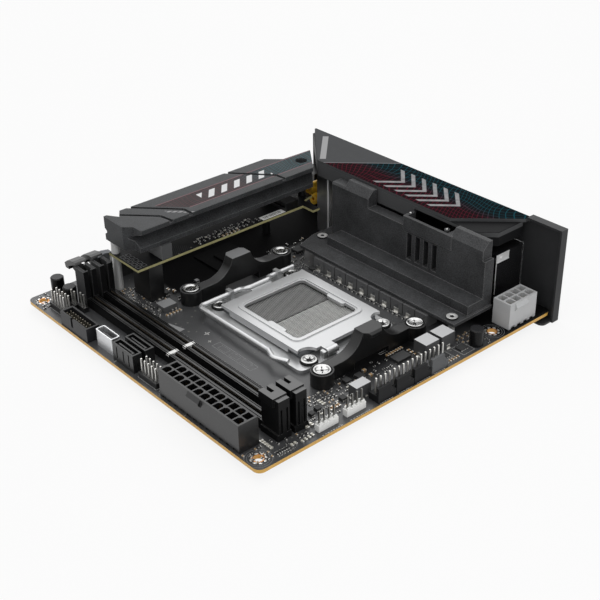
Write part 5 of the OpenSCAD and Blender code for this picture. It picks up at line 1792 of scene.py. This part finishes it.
@dataclass
class Silkscreen:
    """Printed outlines and marks on the boards, as thin raised ink."""

    ink: float = 0.02
    seed: int = 5
    edge: float = 84.9
    rings: Place = (4.5, 5.5)
    ring_w: float = 0.14
    ring_sides: int = 40
    wedge: tuple[Place, ...] = ((-23.4, -49.0), (-13.6, -51.2), (-14.0, -46.4))
    stars: tuple[Triple, ...] = ((-4.4, -41.4, 1.5), (1.5, -44.4, 0.9))
    star_ways: tuple[Place, ...] = ((1, 0), (0, 1), (0.35, 0.35), (0.35, -0.35))
    front_dashes: Triple = (-11.0, 48.0, -49.5)
    side_dashes: tuple[Place, ...] = (
        (-53.2, -42.7), (-38.4, -27.9), (-22.0, -14.5), (-11.4, -4.3), (-1.0, 5.9), (9.2, 16.1),
    )
    side_x: float = 84.6
    outlines: tuple[tuple[Place, Place], ...] = (
        ((-13.2, -84.4), (-12.9, -72.0)), ((3.0, -82.9), (16.2, -77.1)), ((-72.7, -81.0), (-59.3, -75.0)),
        ((58.0, 2.8), (59.2, 14.4)), ((76.2, 28.9), (83.2, 35.8)), ((75.9, 19.0), (80.7, 25.0)),
    )
    lines: tuple[tuple[Place, Place], ...] = (
        ((-59, -51), (60, -51)), ((-26, 31.9), (58, 31.9)), ((56, -52), (56, -46)), ((60, -50), (72, -50)),
    )

    def _bar(self, solid: Solid, start: Place, end: Place, width: float, floor: float = 0.0) -> None:
        """Adds a straight printed line.

        Args:
            solid: The print to add to.
            start: Where the line starts.
            end: Where it ends.
            width: Its width.
            floor: The height of the face that it lies on.
        """
        a, b = Vector(start), Vector(end)
        along = b - a
        side = Vector((-along.y, along.x)).normalized() * width / 2
        solid.prism([a - side, b - side, b + side, a + side], floor, floor + self.ink)

    def _outline(self, solid: Solid, low: Place, high: Place, width: float, floor: float = 0.0) -> None:
        """Adds the outline of a rectangle.

        Args:
            solid: The print to add to.
            low: One corner.
            high: The corner across from it.
            width: The line's width.
            floor: The height of the face that it lies on.
        """
        corners = (low, (high[0], low[1]), high, (low[0], high[1]))
        for start, end in zip(corners, corners[1:] + corners[:1]):
            self._bar(solid, start, end, width, floor)

    @staticmethod
    def _dashes(
        chance: random.Random, start: float, end: float, steps: Place, share: float
    ) -> Iterator[Place]:
        """Gives dashes of uneven lengths.

        Args:
            chance: The random numbers to use.
            start: Where the first dash starts.
            end: Where no more dashes start.
            steps: The shortest and the longest step.
            share: How much of a step is inked.

        Yields:
            Where each dash starts and ends.
        """
        while start < end:
            step = chance.uniform(*steps)
            yield start, start + step * share
            start += step

    def _hole_rings(self, faint: Solid) -> None:
        """Adds the rings round the standoff holes, cut off at the board's edges.

        Args:
            faint: The print to add to.
        """
        for hole in HOLES:
            for radius in self.rings:
                faint.tube(hole, (radius, radius - self.ring_w), (0.0, self.ink), self.ring_sides)
        right, front = at(self.edge, 0.0).x, at(0.0, -self.edge).y
        for vert in faint.bm.verts:
            vert.co.x = max(-right, min(right, vert.co.x))
            vert.co.y = max(front, vert.co.y)

    def _faint(self, chance: random.Random) -> Solid:
        """Makes the faint print: rings, a wedge, framed boxes and a line of dashes.

        Args:
            chance: The random numbers to use.

        Returns:
            The print.
        """
        faint = Solid("faint_print")
        self._hole_rings(faint)
        faint.prism(self.wedge, 0.0, self.ink)
        self._outline(faint, (5.0, -45.8), (31.4, -41.5), 0.22)
        for left in (8.0, 15.6, 23.2):
            self._outline(faint, (left, -45.0), (left + 5.4, -42.3), 0.14)
        for i in range(5):
            left = -59.4 + i * 3.2
            for front in (-48.9, -45.9):
                self._outline(faint, (left, front), (left + 2.2, front + 2.0), 0.2, RISER_TOP)
        left, right, y = self.front_dashes
        for start, end in self._dashes(chance, left, right, (1.2, 2.6), 0.62):
            self._bar(faint, (start, y), (end, y), 0.5)
        return faint

    def _bright(self, chance: random.Random) -> Solid:
        """Makes the bright print: two stars, dashes along the edge, outlines and lines.

        Args:
            chance: The random numbers to use.

        Returns:
            The print.
        """
        bright = Solid("bright_print")
        for x, y, reach in self.stars:
            for dx, dy in self.star_ways:
                self._bar(bright, (x - dx * reach, y - dy * reach), (x + dx * reach, y + dy * reach), 0.3)
        for front, back in self.side_dashes:
            for start, end in self._dashes(chance, front, back, (0.9, 1.7), 0.6):
                self._bar(bright, (self.side_x, start), (self.side_x, end), 0.32)
        for low, high in self.outlines:
            self._outline(bright, low, high, 0.14)
        for start, end in self.lines:
            self._bar(bright, start, end, 0.12)
        return bright

    def build(self) -> None:
        """Makes the bright and the faint print, whose dashes are drawn first."""
        chance = random.Random(self.seed)
        faint = self._faint(chance)
        self._bright(chance).piece("board", "white_plastic", Finishes.SILK)
        faint.piece("board", "white_plastic", Finishes.FAINT_SILK)


@dataclass
class Label:
    """The blank white label with grey ticks on the raised board."""

    seed: int = 3
    low: Place = (-47.2, 23.6)
    high: Place = (-43.3, 37.8)
    thick: float = 0.06
    ink: float = 0.02
    ticks_x: Place = (-46.4, -44.2)
    ticks_y: Place = (25.4, 36.0)
    tick_w: Place = (0.2, 0.6)
    tick_gap: Place = (0.3, 0.7)

    def build(self) -> None:
        """Makes the label as a thin sheet with ticks."""
        made = Solid("riser_label")
        face = RISER_TOP + self.thick
        made.box((*self.low, RISER_TOP), (*self.high, face))
        chance = random.Random(self.seed)
        left, right = self.ticks_x
        y, end = self.ticks_y
        while y < end:
            width = chance.uniform(*self.tick_w)
            made.box((left, y, face), (right, y + width, face + self.ink), cap=True)
            y += width + chance.uniform(*self.tick_gap)
        made.piece("board", "white_plastic", Finishes.LABEL, Finishes.MID_GREY)


@dataclass(frozen=True)
class Lamp:
    """A square lamp: its place on the board in millimetres, its size in metres and its power."""

    name: str
    place: Triple
    size: float
    power: float
    aim: Triple = (0.0, 0.0, 5.0)

    def build(self) -> None:
        """Adds the lamp, which points at the board."""
        lamp = bpy.data.lights.new(self.name, "AREA")
        lamp.energy = self.power
        lamp.size = self.size
        made = bpy.data.objects.new(self.name, lamp)
        made.location = at(*self.place)
        ahead = at(*self.aim) - at(*self.place)
        made.rotation_euler = ahead.to_track_quat("-Z", "Y").to_euler()
        bpy.context.collection.objects.link(made)


@dataclass
class Studio:
    """Pale floor, soft lamps and the camera of the photograph."""

    lamps: tuple[Lamp, ...] = (
        Lamp("back", (-760, 640, 860), 1.4, 4.4),
        Lamp("overhead", (-60, 60, 1300), 2.4, 14.0),
        Lamp("front", (150, -900, 700), 1.2, 2.4),
        Lamp("side", (900, 60, 460), 1.0, 2.4),
    )
    lens_mm: float = 67.89
    sensor_mm: float = 36.0
    clip_start: float = 0.01
    eye: Triple = (343.86, -283.79, 265.02)
    look: Triple = (1.38, 7.83, 0.0)
    roll_deg: float = -1.1318
    floor_half: float = 9.0
    floor_drop: float = 0.0002
    floor_glow: float = 0.85
    world_light: float = 0.2
    world_seen: float = 1.0

    def build(self) -> None:
        """Makes the floor, world, lamps and camera."""
        self._floor()
        self._world()
        for lamp in self.lamps:
            lamp.build()
        self._camera()

    def _floor(self) -> None:
        """Makes the floor under the lowest point of the part."""
        mesh = bpy.data.meshes.new("floor")
        half, z = self.floor_half, CAD_BOX[0][2] - self.floor_drop
        corners = [(-half, -half, z), (half, -half, z), (half, half, z), (-half, half, z)]
        mesh.from_pydata(corners, [], [(0, 1, 2, 3)])
        floor = bpy.data.objects.new("floor", mesh)
        bpy.context.collection.objects.link(floor)
        shader = Shader("pale_floor")
        shader.dress({"Base Color": (0.9, 0.9, 0.9), "Roughness": 0.9, "Specular IOR Level": 0.1})
        glow = shader.node("ShaderNodeEmission")
        path = shader.node("ShaderNodeLightPath").outputs
        kinds = ("Camera", "Glossy", "Transmission")
        seen = reduce(or_, (Value(shader, path[f"Is {kind} Ray"]) for kind in kinds))
        mixed = shader.node(
            "ShaderNodeMixShader", {0: seen * self.floor_glow, 1: shader.bsdf.outputs[0], 2: glow.outputs[0]}
        )
        shader.feed(mixed.outputs[0], shader.tree.nodes["Material Output"].inputs["Surface"])
        floor.data.materials.append(shader.material)

    def _world(self) -> None:
        """Makes a white surround for the camera and a soft one for the part."""
        world = bpy.data.worlds.new("studio")
        bpy.context.scene.world = world
        world.use_nodes = True
        nodes = Nodes(world.node_tree)
        path = nodes.node("ShaderNodeLightPath").outputs
        seen = Value(nodes, path["Is Camera Ray"]) | Value(nodes, path["Is Glossy Ray"])
        back = world.node_tree.nodes["Background"].inputs
        nodes.feed((1.0, 1.0, 1.0), back["Color"])
        nodes.feed(nodes.blend(seen, self.world_light, self.world_seen), back["Strength"])

    def _camera(self) -> None:
        """Sets the camera as it was solved from the board's corners and holes."""
        eye = at(*self.eye)
        ahead = (at(*self.look) - eye).normalized()
        right = ahead.cross(Vector((0, 0, 1))).normalized()
        up = right.cross(ahead)
        turn = math.radians(self.roll_deg)
        side = right * math.cos(turn) + up * math.sin(turn)
        over = up * math.cos(turn) - right * math.sin(turn)
        lens = bpy.data.cameras.new("camera")
        lens.lens = self.lens_mm
        lens.sensor_width = self.sensor_mm
        lens.sensor_fit = "HORIZONTAL"
        lens.clip_start = self.clip_start
        camera = bpy.data.objects.new("camera", lens)
        rows = zip(side, over, -ahead)
        camera.matrix_world = Matrix.Translation(eye) @ Matrix([list(r) for r in rows]).to_4x4()
        bpy.context.collection.objects.link(camera)
        bpy.context.scene.camera = camera


def main() -> None:
    """Builds the pieces in order."""
    logging.basicConfig(level=logging.INFO, format="%(message)s")
    bpy.context.scene.view_settings.view_transform = "Standard"
    dress_nodes()
    for part in (
        SmallParts(), SpringContacts(), MemorySlots(), LatchWebs(), PortTrim(), MemoryContacts(),
        CardContacts(), ChokeClips(), LightHeaders(), PocketScrews(), *SCREWS, HoleRings(), SolderTails(),
        Silkscreen(), Label(),
    ):
        part.build()
    Studio().build()


if __name__ == "__main__":
    main()
